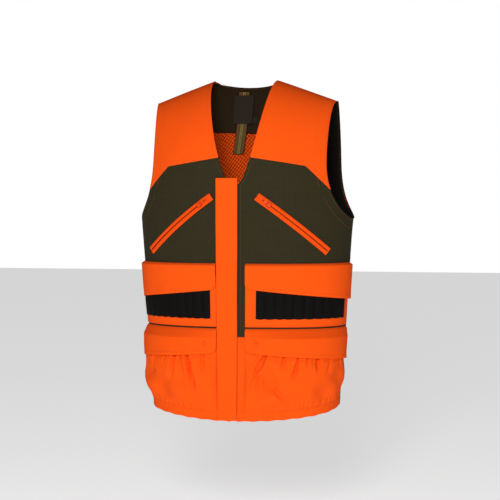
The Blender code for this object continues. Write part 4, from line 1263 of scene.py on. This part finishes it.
def coil(name, arc, first, look):
    """Zip teeth: small blocks along the arc, by turns on one side and the other."""
    points, faces = [], []
    count = int(arc.length * (COIL_END - first) / COIL_PITCH)
    for k in range(count):
        share = first + (COIL_END - first) * (k + 0.5) / count
        half = COIL_PITCH * 0.36 / arc.length
        side = 1 if k % 2 else -1
        for end in (-half, half):
            for across in (-0.0004 * side, COIL_REACH * side):
                for height in (COIL_OUT - 0.0007, COIL_OUT + 0.0004):
                    points.append((share + end, across, height))
        base = 8 * k
        for face in BOX_FACES:
            faces.append([base + v for v in (face if side > 0 else face[::-1])])
    spots = np.array(points)
    return mesh_object(name, arc.at(spots[:, 0], spots[:, 1], spots[:, 2]), faces, look, smooth_faces=False)


def frame_of(place_at, up, outward):
    z = outward.normalized()
    y = (up - up.dot(z) * z).normalized()
    return Matrix.Translation(place_at) @ Matrix((y.cross(z), y, z)).transposed().to_4x4()


def soft_plate(name, outline_points, low, high, to_world, look, holes=(), bevel=0.0002):
    """A flat plate with rounded edges."""
    curve = bpy.data.curves.new(name, "CURVE")
    curve.dimensions = "2D"
    curve.fill_mode = "BOTH"
    curve.extrude = (high - low) / 2 - bevel
    curve.bevel_depth = bevel
    curve.bevel_resolution = 2
    curve.offset = -bevel
    for loop in (outline_points, *holes):
        spline = curve.splines.new("POLY")
        spline.points.add(len(loop) - 1)
        for point, (x, y) in zip(spline.points, loop):
            point.co = (x, y, 0, 1)
        spline.use_cyclic_u = True
    source = bpy.data.objects.new(name, curve)
    bpy.context.scene.collection.objects.link(source)
    bpy.context.view_layer.update()
    mesh = bpy.data.meshes.new_from_object(source.evaluated_get(bpy.context.evaluated_depsgraph_get()))
    bpy.data.objects.remove(source)
    mesh.transform(to_world @ Matrix.Translation((0, 0, (low + high) / 2)))
    mesh.materials.clear()
    mesh.materials.append(look)
    mesh.name = name
    obj = bpy.data.objects.new(name, mesh)
    bpy.context.scene.collection.objects.link(obj)
    return obj


def rounded(width, length, radius, centre=(0, 0), steps=5, waist=0.0):
    points = []
    for turn, (x, y) in enumerate(((1, 1), (-1, 1), (-1, -1), (1, -1))):
        for step in range(steps + 1):
            angle = (turn + step / steps) * pi / 2
            px = x * (width / 2 - radius) + radius * np.cos(angle)
            py = y * (length / 2 - radius) + radius * np.sin(angle)
            px *= 1 - waist * (1 - abs(py) / (length / 2))
            points.append((centre[0] + px, centre[1] + py))
    return points


def joined(name, objects):
    """Several meshes as one piece."""
    points, faces, count = [], [], 0
    looks, slots, flat = [], [], []
    for obj in objects:
        mesh = obj.data
        look = mesh.materials[0]
        if look not in looks:
            looks.append(look)
        for polygon in mesh.polygons:
            faces.append([count + v for v in polygon.vertices])
            slots.append(looks.index(look))
            flat.append(polygon.use_smooth)
        points += [obj.matrix_world @ v.co for v in mesh.vertices]
        count += len(mesh.vertices)
        bpy.data.objects.remove(obj)
    made = mesh_object(name, [tuple(p) for p in points], faces, looks[0])
    for look in looks[1:]:
        made.data.materials.append(look)
    made.data.polygons.foreach_set("material_index", slots)
    made.data.polygons.foreach_set("use_smooth", flat)
    return made


def slider_looks(name, to_world, look, nodes, bodies, puller_up):
    """A zip slider with its bail, and the puller with its grip; nodes and bodies name both in that order."""
    slider_body, puller_body = bodies
    shape = []
    for x, y in rounded(0.0085, 0.0105, 0.0022, steps=6):
        shape.append((x * (1 - 0.16 * (y > 0) * 0.5), y))
    body = soft_plate(name + "_plate", shape, 0.0, 0.0012, to_world, look, bevel=0.0003)
    upright = to_world @ Matrix(((0, 0, 1, 0), (1, 0, 0, 0), (0, 1, 0, 0), (0, 0, 0, 1)))
    arch = []
    for half, rise, steps in ((0.0042, 0.0031, range(25)), (0.0034, 0.0023, range(24, -1, -1))):
        for angle in (pi * step / 24 for step in steps):
            arch.append((half * np.cos(angle), 0.0008 + rise * np.sin(angle) ** 0.55))
    bail = soft_plate(name + "_bail", arch, -0.0009, 0.0009, upright, look, bevel=0.0002)
    neck = soft_plate(name + "_ridge", rounded(0.0026, 0.0085, 0.0012), 0.0010, 0.0015, to_world, look)
    slider = joined(name + "_slider_body", [body, bail, neck])
    on_body(slider, slider_body, nodes[0])
    turn = 1 if puller_up else -1
    height = 0.0012 + 0.0019 / 2
    tag = rounded(0.0048, 0.0220, 0.0014, centre=(0, turn * 0.0105), waist=0.10)
    eye = rounded(0.0026, 0.0050, 0.0007, centre=(0, turn * 0.0030))
    slot = rounded(0.0016, 0.0062, 0.0007, centre=(0, turn * 0.0150))
    puller = soft_plate(name + "_tag", tag, height - 0.0004, height + 0.0004, to_world, look,
                        holes=(eye[::-1], slot[::-1]), bevel=0.00018)
    puller = joined(name + "_pull", [puller])
    on_body(puller, puller_body, nodes[1])
    # Thin dark plates in the coil's colour: painted shade in the puller's eye and slot, and a painted shade
    # rim under the slider's edge.
    for label, shape, body_name, high in (
            ("_painted_shade_eye", eye, puller_body, height - 0.0001),
            ("_painted_shade_slot", slot, puller_body, height - 0.0001),
            ("_shade", rounded(0.0098, 0.0118, 0.0026), slider_body, 0.0002)):
        dark = soft_plate(name + label, shape, high - 0.0003, high, to_world, COIL_AND_SHADE, bevel=0.00005)
        on_body(dark, body_name)


def chest_zip(side_name, side):
    ends = [cad_skin(*CHEST_ZIP_START, CHEST_ZIP_LIFT, side), cad_skin(*CHEST_ZIP_END, CHEST_ZIP_LIFT, side)]
    arc = Arc(ends, cad_skin(*CHEST_ZIP_MIDDLE, CHEST_ZIP_LIFT, side))
    tape = arc_tape("chest_tape_" + side_name, arc, TAPE, 0.0009)
    on_body(tape, "front_" + side_name, "chest_zip_tape_" + side_name, slot="orange_trim")
    teeth = coil("chest_coil_" + side_name, arc, 0.17, COIL_AND_SHADE)
    on_body(teeth, "front_" + side_name)
    lines = np.linspace(0.012, 0.988, 160)
    rows = []
    outward = arc.at(lines, 0, 1) - arc.at(lines, 0, 0)
    for across in (-0.0068, 0.0068):
        rows.append(stitches(arc.at(lines, across, 0.00085), outward))
    ends_across = np.linspace(-0.0068, 0.0068, 20)
    for share in (0.012, 0.988):
        out = arc.at(share, ends_across, 1) - arc.at(share, ends_across, 0)
        rows.append(stitches(arc.at(share, ends_across, 0.0009), out))
    on_body(thread("chest_tape_stitches_" + side_name, rows, DEEP_THREAD), "front_" + side_name)
    arm = Matrix.Rotation(arc.sweep * CHEST_SLIDER_SHARE, 3, arc.axis) @ arc.start
    outward = arm.normalized()
    to_world = frame_of(arc.centre + arm + outward * 0.0021, outward.cross(arc.axis), outward)
    slider_looks("chest_" + side_name, to_world, LACQUER,
                 ("chest_zip_slider_" + side_name, "chest_zip_puller_" + side_name),
                 ("chest_slider_" + side_name, "chest_puller_" + side_name), True)


def main_zip(side_name, side):
    """Half of the front zip: woven tape and moulded teeth."""
    y = -FRONT_DEPTH
    heights = np.linspace(MAIN_ZIP_LOW, MAIN_ZIP_TOP, 160)
    across = np.concatenate([np.linspace(0.0022, 0.0040, 5), np.linspace(0.0052, 0.018, 10)])
    u, w = np.meshgrid(across, heights)
    bead = 0.0007 * bell(u - 0.0026, 0.0012)

    def grid(out):
        return np.stack([u * side, y - out, w], -1)
    obj = slab("main_tape_" + side_name, grid(-0.0002 + 0 * u), grid(0.0006 + bead), TAPE,
               np.stack([u, w], -1), flip=side < 0)
    on_body(obj, "front_" + side_name, "main_zip_half_" + side_name, slot="orange_trim")
    pitch = 0.0026
    count = int((MAIN_ZIP_TOP - MAIN_ZIP_LOW - 0.004) / pitch)
    shift = 0 if side > 0 else pitch / 2
    points, faces = [], []
    for k in range(count):
        middle = MAIN_ZIP_LOW + 0.003 + k * pitch + shift
        base = len(points)
        for x, half in ((0.0002, 0.0005), (0.0036, 0.0008)):
            for out in (-0.0008, 0.0015):
                for z in (middle - half, middle + half):
                    points.append((x * side, y - out, z))
        faces += [[base + v for v in (face if side < 0 else face[::-1])] for face in BOX_FACES]
    teeth = mesh_object("main_teeth_" + side_name, points, faces, PLASTIC, smooth_faces=False)
    on_body(teeth, "front_" + side_name)
    stitch_line = np.linspace(MAIN_ZIP_LOW + 0.004, MAIN_ZIP_TOP - 0.004, 120)
    line = np.stack([0 * stitch_line + 0.0145 * side, 0 * stitch_line + y - 0.00062, stitch_line], -1)
    normals = np.tile((0.0, -1.0, 0.0), (len(line), 1))
    threads = thread("main_tape_stitches_" + side_name, [stitches(line, normals)], DEEP_THREAD)
    on_body(threads, "front_" + side_name)


def main_slider():
    up, out = Vector((0, 0, 1)), Vector((0, -1, 0))
    to_world = frame_of(Vector((0, -FRONT_DEPTH - 0.0019, MAIN_ZIP_TOP - 0.0105 / 2 + 0.002)), up, out)
    slider_looks("main", to_world, METAL, ("main_zip_slider", "main_zip_puller"),
                 ("main_slider", "main_slider"), False)
    rear = soft_plate("main_back_plate", rounded(0.0085, 0.0105, 0.0022), -0.0041, -0.0031, to_world, METAL,
                      bevel=0.0003)
    post = soft_plate("main_post", rounded(0.0014, 0.003, 0.0006, centre=(0, 0.0034)), -0.0034, 0.0004,
                      to_world, METAL)
    on_body(joined("main_slider_rear", [rear, post]), "main_slider")
    low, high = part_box("zip_retainer_box")
    size = high - low
    middle = (low + high) / 2
    at = frame_of(middle + Vector((0, -size.y / 2, 0)), up, out)
    shell = soft_plate("retainer_shell", rounded(size.x, size.z, 0.0012), -size.y, 0.0, at, METAL,
                       bevel=0.0004)
    slot = soft_plate("retainer_slot", rounded(size.x * 0.5, size.z * 0.24, 0.0004), -0.0002, 0.00025, at,
                      METAL, bevel=0.0001)
    on_body(joined("zip_retainer", [shell, slot]), "front_left", "zip_retainer_box", slot="dark_metal")


def storm_flap():
    """The placket over the main zip."""
    def spot(u, w):
        girth = mix(STORM_FLAP_EDGE, STORM_FLAP_SEAM - 0.0005, u)
        return girth, mix(HEM_HEIGHT + 0.0015, STORM_FLAP_TOP, w)

    def thick(girth, height):
        edge = np.minimum(girth - STORM_FLAP_EDGE, np.minimum(STORM_FLAP_TOP - height, height - HEM_HEIGHT))
        return CLOTH + near_edge(edge, 0.006, 0.0003) + near_edge(height - HEM_HEIGHT, HEM_BAND, 0.0004)

    def lift(girth, height):
        drift = 0.0006 * waves(np.stack([girth * 0, height * 0, height], -1), 0.09, 41)
        sewn = smooth((girth - 0.0005) / 0.008)
        return STORM_FLAP_LIFT + drift * smooth((0.0 - girth) / 0.02) - 0.0018 * sewn
    layer = Layer(spot, lift, 1, thick)
    obj = cloth("placket_cloth", layer, spaced(0.051, 0.0022), spaced(0.51, 0.003), ORANGE)
    on_body(obj, "storm_flap", "storm_flap", slot="orange_cloth")
    down = np.linspace(HEM_HEIGHT + 0.004, STORM_FLAP_TOP - 0.004, 300)
    across = np.linspace(STORM_FLAP_EDGE + 0.003, STORM_FLAP_SEAM - 0.003, 40)
    rows = [
        seam(layer, STORM_FLAP_SEAM - 0.0026, down),
        seam(layer, STORM_FLAP_EDGE + 0.0024, down),
        seam(layer, across, STORM_FLAP_TOP - 0.0024),
    ]
    on_body(thread("placket_stitches", rows, ORANGE_THREAD), "storm_flap")


# ---------------------------------------------------------------- back

def back_top(share, lower=0.0, tip=SHOULDER_HALF):
    """Shoulder ridge from its tip, then back neckline; lower drops the neckline by that much."""
    corner = 0.6
    girth, height = ridge(mix(tip, NECK_HALF, np.clip(share / corner, 0, 1)), True)
    x = NECK_HALF * (1 - np.clip((share - corner) / (1 - corner), 0, 1))
    low = mix(-BACK_NECK_DROP, SHOULDER_TOP, (x / NECK_HALF) ** 2) - lower * smooth((share - corner) / 0.05)
    return np.where(share < corner, girth, girth_at_x(x, True)), np.where(share < corner, height, low)


def line_across(start, height):
    def at(share):
        return mix(float(start[0]), BACK, share), mix(float(start[1]), height, share)
    return at


def up_centre_back(low, high):
    def at(share):
        drop = mix(drop_at(BACK, low), drop_at(BACK, high), share)
        return BACK + 0 * share, height_at(BACK + 0 * share, drop)
    return at


def back_cloth(name, spot, lift, columns, rows, look, thick=CLOTH, **more):
    """A panel of the back, both halves as one cloth. Its u runs from the wearer's left to right."""
    def whole(u, w):
        half = 1 - np.abs(2 * u - 1)
        girth, height = spot(half, w)
        return np.where(u < 0.5, girth, 2 * BACK - girth), height
    layer = Layer(whole, lift, 1, thick)
    us, ws = np.linspace(0, 1, 2 * columns + 1), np.linspace(0, 1, rows + 1)
    return layer, cloth(name, layer, us, ws, look, **more)


def back_seam(layer, girth, height, inside=False):
    """Stitches on a back layer, on both halves."""
    return [seam(layer, spots, height, inside) for spots in (girth, 2 * BACK - girth)]


def back_panels():
    arm = along_armhole(BACK_YOKE_SHARE, 1, True)
    arm_start = armhole(BACK_YOKE_SHARE, True)
    lower = 0.004
    spot = patch(line_across(arm_start, BACK_YOKE_HEIGHT), lambda share: back_top(share, lower), arm,
                 up_centre_back(BACK_YOKE_HEIGHT, -BACK_NECK_DROP - lower))
    yoke, obj = back_cloth("back_yoke_cloth", spot, 0.0022, 72, 64, ORANGE)
    on_body(obj, "vest_back", "back_yoke", slot="orange_cloth")
    shares = np.linspace(0, 1, 260)
    seam_line = line_across(arm_start, BACK_YOKE_HEIGHT)(shares)
    rows = []
    for above in SEAM_ROWS:
        rows += back_seam(yoke, seam_line[0], seam_line[1] + above)
    for inset in YOKE_ARM_ROWS:
        rows += back_seam(yoke, *armhole(mix(BACK_YOKE_SHARE + 0.01, 0.985, shares), True, inset))
    neck = back_top(mix(0.61, 1, shares))
    rows += back_seam(yoke, neck[0], height_at(neck[0], drop_at(*neck) + 0.007))
    rows += back_seam(yoke, *spot(mix(0.02, 0.58, shares), 0 * shares + 0.975))
    on_body(thread("back_yoke_stitches", rows, DEEP_THREAD), "vest_back")

    edge = SIDE + SIDE_PANEL
    low_arm = along_armhole(SIDE_PANEL_SHARE, BACK_YOKE_SHARE, True)
    low_start = armhole(SIDE_PANEL_SHARE, True)
    waist = float(low_start[1])
    upper = patch(line_across(low_start, waist), line_across(arm_start, BACK_YOKE_HEIGHT), low_arm,
                  up_centre_back(waist, BACK_YOKE_HEIGHT))
    lower = between(edge, BACK, hem, waist)
    panel, obj = back_cloth("back_panel_cloth", stacked(lower, upper, 0.75), OUTER_LIFT, 84, 200, ORANGE,
                            hem_thick)
    on_body(obj, "vest_back", "back_panel", slot="orange_cloth")
    rows = []
    for inset in (0.0045, 0.023):
        run = mix(SIDE_PANEL_SHARE + 0.01, BACK_YOKE_SHARE - 0.01, shares)
        rows += back_seam(panel, *armhole(run, True, inset))
    down = np.linspace(waist - 0.004, HEM_HEIGHT + 0.03, 300)
    rows += back_seam(panel, edge + 0.0022, down)
    girths = np.linspace(edge + 0.002, BACK, 300)
    rows += back_seam(panel, girths, hem(girths) + HEM_BAND)
    on_body(thread("back_panel_stitches", rows, DEEP_THREAD), "vest_back")


def side_panel(side_name, side):
    shares = np.linspace(0, SIDE_PANEL_SHARE, 200)
    top_girths, top_heights = armhole(shares, True)

    def top(girth):
        return np.interp(girth, top_girths, top_heights)
    layer = Layer(between(SIDE + 0.0002, SIDE + SIDE_PANEL, hem, top), OUTER_LIFT, side, hem_thick)
    obj = cloth("side_panel_cloth_" + side_name, layer, spaced(0.05, 0.0025), spaced(0.42, 0.003), OLIVE)
    on_body(obj, "vest_back", "side_panel_" + side_name, slot="olive_ripstop")
    down = np.linspace(-0.31, HEM_HEIGHT + 0.028, 300)
    girths = np.linspace(SIDE + 0.003, SIDE + SIDE_PANEL - 0.003, 60)
    rows = [
        seam(layer, SIDE + 0.0026, down),
        seam(layer, SIDE + SIDE_PANEL - 0.0026, down),
        seam(layer, girths, hem(girths) + HEM_BAND),
        seam(layer, girths, top(girths) - 0.0045),
    ]
    on_body(thread("side_panel_stitches_" + side_name, rows, RUST_THREAD), "vest_back")


def inner_back():
    inset = ARMHOLE_FACING + FACING_GAP - 0.006
    split = 0.66
    arm = along_armhole(split, 1, True, inset)
    arm_low, arm_high = armhole(split, True, inset), armhole(1.0, True, inset)
    tip = float(CHEST_HALF * section_at(arm_high[0])[0])

    facing_low = line_across(arm_low, FACING_HEIGHT)

    def top(share):
        return back_top(share, 0.0, tip)
    spot = patch(facing_low, top, arm, up_centre_back(FACING_HEIGHT, -BACK_NECK_DROP))
    facing, obj = back_cloth("back_neck_facing_cloth", spot, LINING_LIFT, 64, 40, FACING, LINING_CLOTH)
    on_body(obj, "vest_back", "back_neck_facing", slot="olive_ripstop")
    shares = np.linspace(0, 1, 200)
    neck = back_top(mix(0.61, 1, shares))
    rows = back_seam(facing, neck[0], height_at(neck[0], drop_at(*neck) + 0.0065), inside=True)
    on_body(thread("back_neck_stitches", rows, RUST_THREAD), "vest_back")
    low_line = facing_low(shares)
    rows = back_seam(facing, low_line[0], low_line[1] + 0.003, inside=True)
    on_body(thread("back_facing_stitches", rows, DARK_THREAD), "vest_back")

    arm_shares = np.linspace(0, 1, 400)
    arm_girth, arm_height = armhole(arm_shares, True, BACK_FACING + 0.001)

    def inside(girth, height):
        limit = np.interp(height, arm_height, arm_girth, left=SIDE, right=arm_girth[-1])
        across = np.clip((girth - float(arm_low[0])) / (BACK - float(arm_low[0])), 0, 1)
        low_enough = height < facing_low(across)[1] + 0.004
        return (girth > limit + 0.001) & (height > hem(girth) + 0.018) & low_enough
    obj = net("back_net", inside, both=True)
    on_body(obj, "vest_back", "back_net_lining", slot="dark_net")


def game_pouch():
    start = SIDE + SIDE_PANEL + 0.012
    spot = between(start, BACK, lambda girth: hem(girth) + 0.002, GAME_POUCH_TOP)

    def lift(girth, height):
        u = np.clip((girth - start) / (BACK - start), 0, 1)
        low = hem(girth) + 0.002
        w = np.clip((height - low) / (GAME_POUCH_TOP - low), 0, 1)
        full = GAME_BULGE * np.minimum(u / 0.12, 1) ** 0.6 * np.minimum(w / 0.25, 1) ** 0.7
        slack = 0.0016 * waves(np.stack([girth, 0 * girth, height * 0.7], -1), 0.09, 61)
        slack = slack * smooth(u / 0.1) * smooth(w / 0.1)
        hemmed = 0.0012 * smooth((w - 0.93) / 0.05)
        return POCKET_LIFT + full + slack - hemmed

    def thick(girth, height):
        return CLOTH + near_edge(GAME_POUCH_TOP - height, 0.018, 0.0006)
    layer, obj = back_cloth("game_pouch_cloth", spot, lift, 90, 90, OLIVE, thick, fullness=1.06)
    on_body(obj, "vest_back", "game_pouch", slot="olive_ripstop")
    girths = np.linspace(start + 0.003, BACK, 300)
    down = np.linspace(GAME_POUCH_TOP - 0.004, HEM_HEIGHT + 0.014, 200)
    rows = back_seam(layer, girths, GAME_POUCH_TOP - 0.018)
    rows += back_seam(layer, start + 0.0024, down)
    rows += back_seam(layer, girths, hem(girths) + 0.006)
    on_body(thread("game_pouch_stitches", rows, RUST_THREAD), "vest_back")


def rear_zip():
    height = GAME_POUCH_TOP + 0.016
    first = cad_skin(BACK - REAR_ZIP_HALF, height, REAR_ZIP_LIFT)
    arc = Arc([first, Vector((-first.x, first.y, first.z))], cad_skin(BACK, height, REAR_ZIP_LIFT))
    tape = arc_tape("rear_tape", arc, OLIVE, 0.0006)
    on_body(tape, "vest_back", "rear_zip_tape", slot="olive_ripstop")
    on_body(coil("rear_coil", arc, 0.07, BLACK), "vest_back")
    lines = np.linspace(0.01, 0.99, 160)
    outward = arc.at(lines, 0, 1) - arc.at(lines, 0, 0)
    rows = [stitches(arc.at(lines, across, 0.0010), outward) for across in (-0.0068, 0.0068)]
    on_body(thread("rear_tape_stitches", rows, RUST_THREAD), "vest_back")
    arm = Matrix.Rotation(arc.sweep * 0.06, 3, arc.axis) @ arc.start
    outward = arm.normalized()
    to_world = frame_of(arc.centre + arm + outward * 0.0021, outward.cross(arc.axis), outward)
    slider_looks("rear", to_world, METAL, ("rear_zip_slider", "rear_zip_puller"),
                 ("rear_slider", "rear_puller"), False)


def hanger():
    """The striped strap, the plain neck label over it and the small size tag."""
    lean = 0.18
    top = -BACK_NECK_DROP - 0.004
    strap_lift = LINING_LIFT - 0.0070

    def strip(name, centre, width, high, low, lift, thick, look, stripes=False):
        across = np.linspace(-1, 1, 15)
        heights = np.linspace(low, high, 56)
        u, w = np.meshgrid(across, heights)
        down = (high - w) / (high - low)
        base, normals = base_skin(BACK + 0 * w, w)
        bow = 0.0006 * np.sin(pi * down) * (1 - 0.5 * u ** 2)
        x = centre + lean * (w - top) + u * (width / 2)
        thin = lift - bow
        inner = base + normals * thin[..., None]
        outer = base + normals * (thin + thick)[..., None]
        inner[..., 0], outer[..., 0] = x, x
        spots = np.stack([(u + 1) / 2 if stripes else x, w], -1)
        return slab(name, inner, outer, look, spots, flip=True)
    strap = strip("hanger_strap_ribbon", -0.017, 0.024, top - 0.001, -0.160, strap_lift, 0.0012, RIBBON, True)
    on_body(strap, "hanger", "hanger_strap", slot="striped_ribbon")
    label = strip("neck_label_cloth", -0.017, 0.044, -0.026, -0.090, strap_lift - 0.0016, 0.0008, LABEL)
    on_body(label, "hanger", "neck_label", slot="dark_label")
    tag = strip("size_tag_cloth", 0.0106, 0.011, -0.078, -0.091, LINING_LIFT - 0.0034, 0.0008, LABEL)
    on_body(tag, "vest_back", "size_tag", slot="dark_label")


def snap(side_name):
    """The metal stud on the pouch, and the cap on the flap that is covered in its orange."""
    for name, look in (("snap_stud_", METAL), ("snap_cap_", COVERED_SNAP)):
        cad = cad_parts[name + side_name]
        cad.data.materials.clear()
        cad.data.materials.append(look)


# ---------------------------------------------------------------- build

back_panels()
inner_back()
game_pouch()
rear_zip()
hanger()
for side_label, side_sign in SIDES:
    side_panel(side_label, side_sign)
    armhole_facing(side_label, side_sign, True)
    armhole_facing(side_label, side_sign, False)
    front_panels(side_label, side_sign)
    front_net(side_label, side_sign)
    loop_frame(side_label, side_sign)
    loop_band(side_label, side_sign)
    flap_piece("loop_flap", FLAP_TOP, loop_flap_low, loop_flap_rise, side_label, side_sign, 0.011, 0.002)
    cargo_pouch(side_label, side_sign)
    flap_piece("cargo_flap", CARGO_FLAP_TOP, cargo_flap_low, cargo_flap_rise(side_sign), side_label,
               side_sign, 0.013, 0.003)
    snap(side_label)
    chest_zip(side_label, side_sign)
    main_zip(side_label, side_sign)
main_slider()
storm_flap()

# ---------------------------------------------------------------- room, light and camera

FLOOR_HEIGHT = -1.02
FLOOR_HALF = 12
DAYLIGHT = 0.12
pale = bpy.data.materials.new("pale_floor")
pale.use_nodes = True
for key, value in (("Base Color", (0.92, 0.92, 0.92, 1)), ("Roughness", 0.9),
                   ("Emission Color", (1, 1, 1, 1)), ("Emission Strength", 0.55)):
    pale.node_tree.nodes["Principled BSDF"].inputs[key].default_value = value
corners = [(x * FLOOR_HALF, y * FLOOR_HALF, FLOOR_HEIGHT) for x, y in ((-1, -1), (1, -1), (1, 1), (-1, 1))]
floor = mesh_object("floor", corners, [(0, 1, 2, 3)], pale)

world = bpy.data.worlds.new("studio")
bpy.context.scene.world = world
world.use_nodes = True
background = world.node_tree.nodes["Background"]
background.inputs["Color"].default_value = (1, 1, 1, 1)
seen = node(world.node_tree, "ShaderNodeLightPath").outputs["Is Camera Ray"]
world.node_tree.links.new(maths(world.node_tree, "MULTIPLY_ADD", seen, 1 - DAYLIGHT, DAYLIGHT),
                          background.inputs["Strength"])

TARGET = Vector((0, 0, -0.375))


def lamp(name, place_at, size, power):
    data = bpy.data.lights.new(name, "AREA")
    data.shape = "DISK"
    data.size = size
    data.energy = power
    obj = bpy.data.objects.new(name, data)
    bpy.context.scene.collection.objects.link(obj)
    obj.location = place_at
    obj.rotation_mode = "QUATERNION"
    obj.rotation_quaternion = (TARGET - Vector(place_at)).to_track_quat("-Z", "Y")


lamp("key", (0.35, -3.2, 0.45), 0.8, 67)

AZIMUTH, ELEVATION, DISTANCE = radians(12), radians(2), 3.2
camera_data = bpy.data.cameras.new("camera")
camera_data.lens = 104.7
camera_data.sensor_width = 36
camera_data.shift_x = 0.006
camera_data.clip_end = 100
camera = bpy.data.objects.new("camera", camera_data)
bpy.context.scene.collection.objects.link(camera)
away = Vector((np.sin(AZIMUTH) * np.cos(ELEVATION), -np.cos(AZIMUTH) * np.cos(ELEVATION), np.sin(ELEVATION)))
camera.location = TARGET + away * DISTANCE
camera.rotation_mode = "QUATERNION"
camera.rotation_quaternion = away.to_track_quat("Z", "Y")
bpy.context.scene.camera = camera
bpy.context.scene.view_settings.view_transform = "Standard"
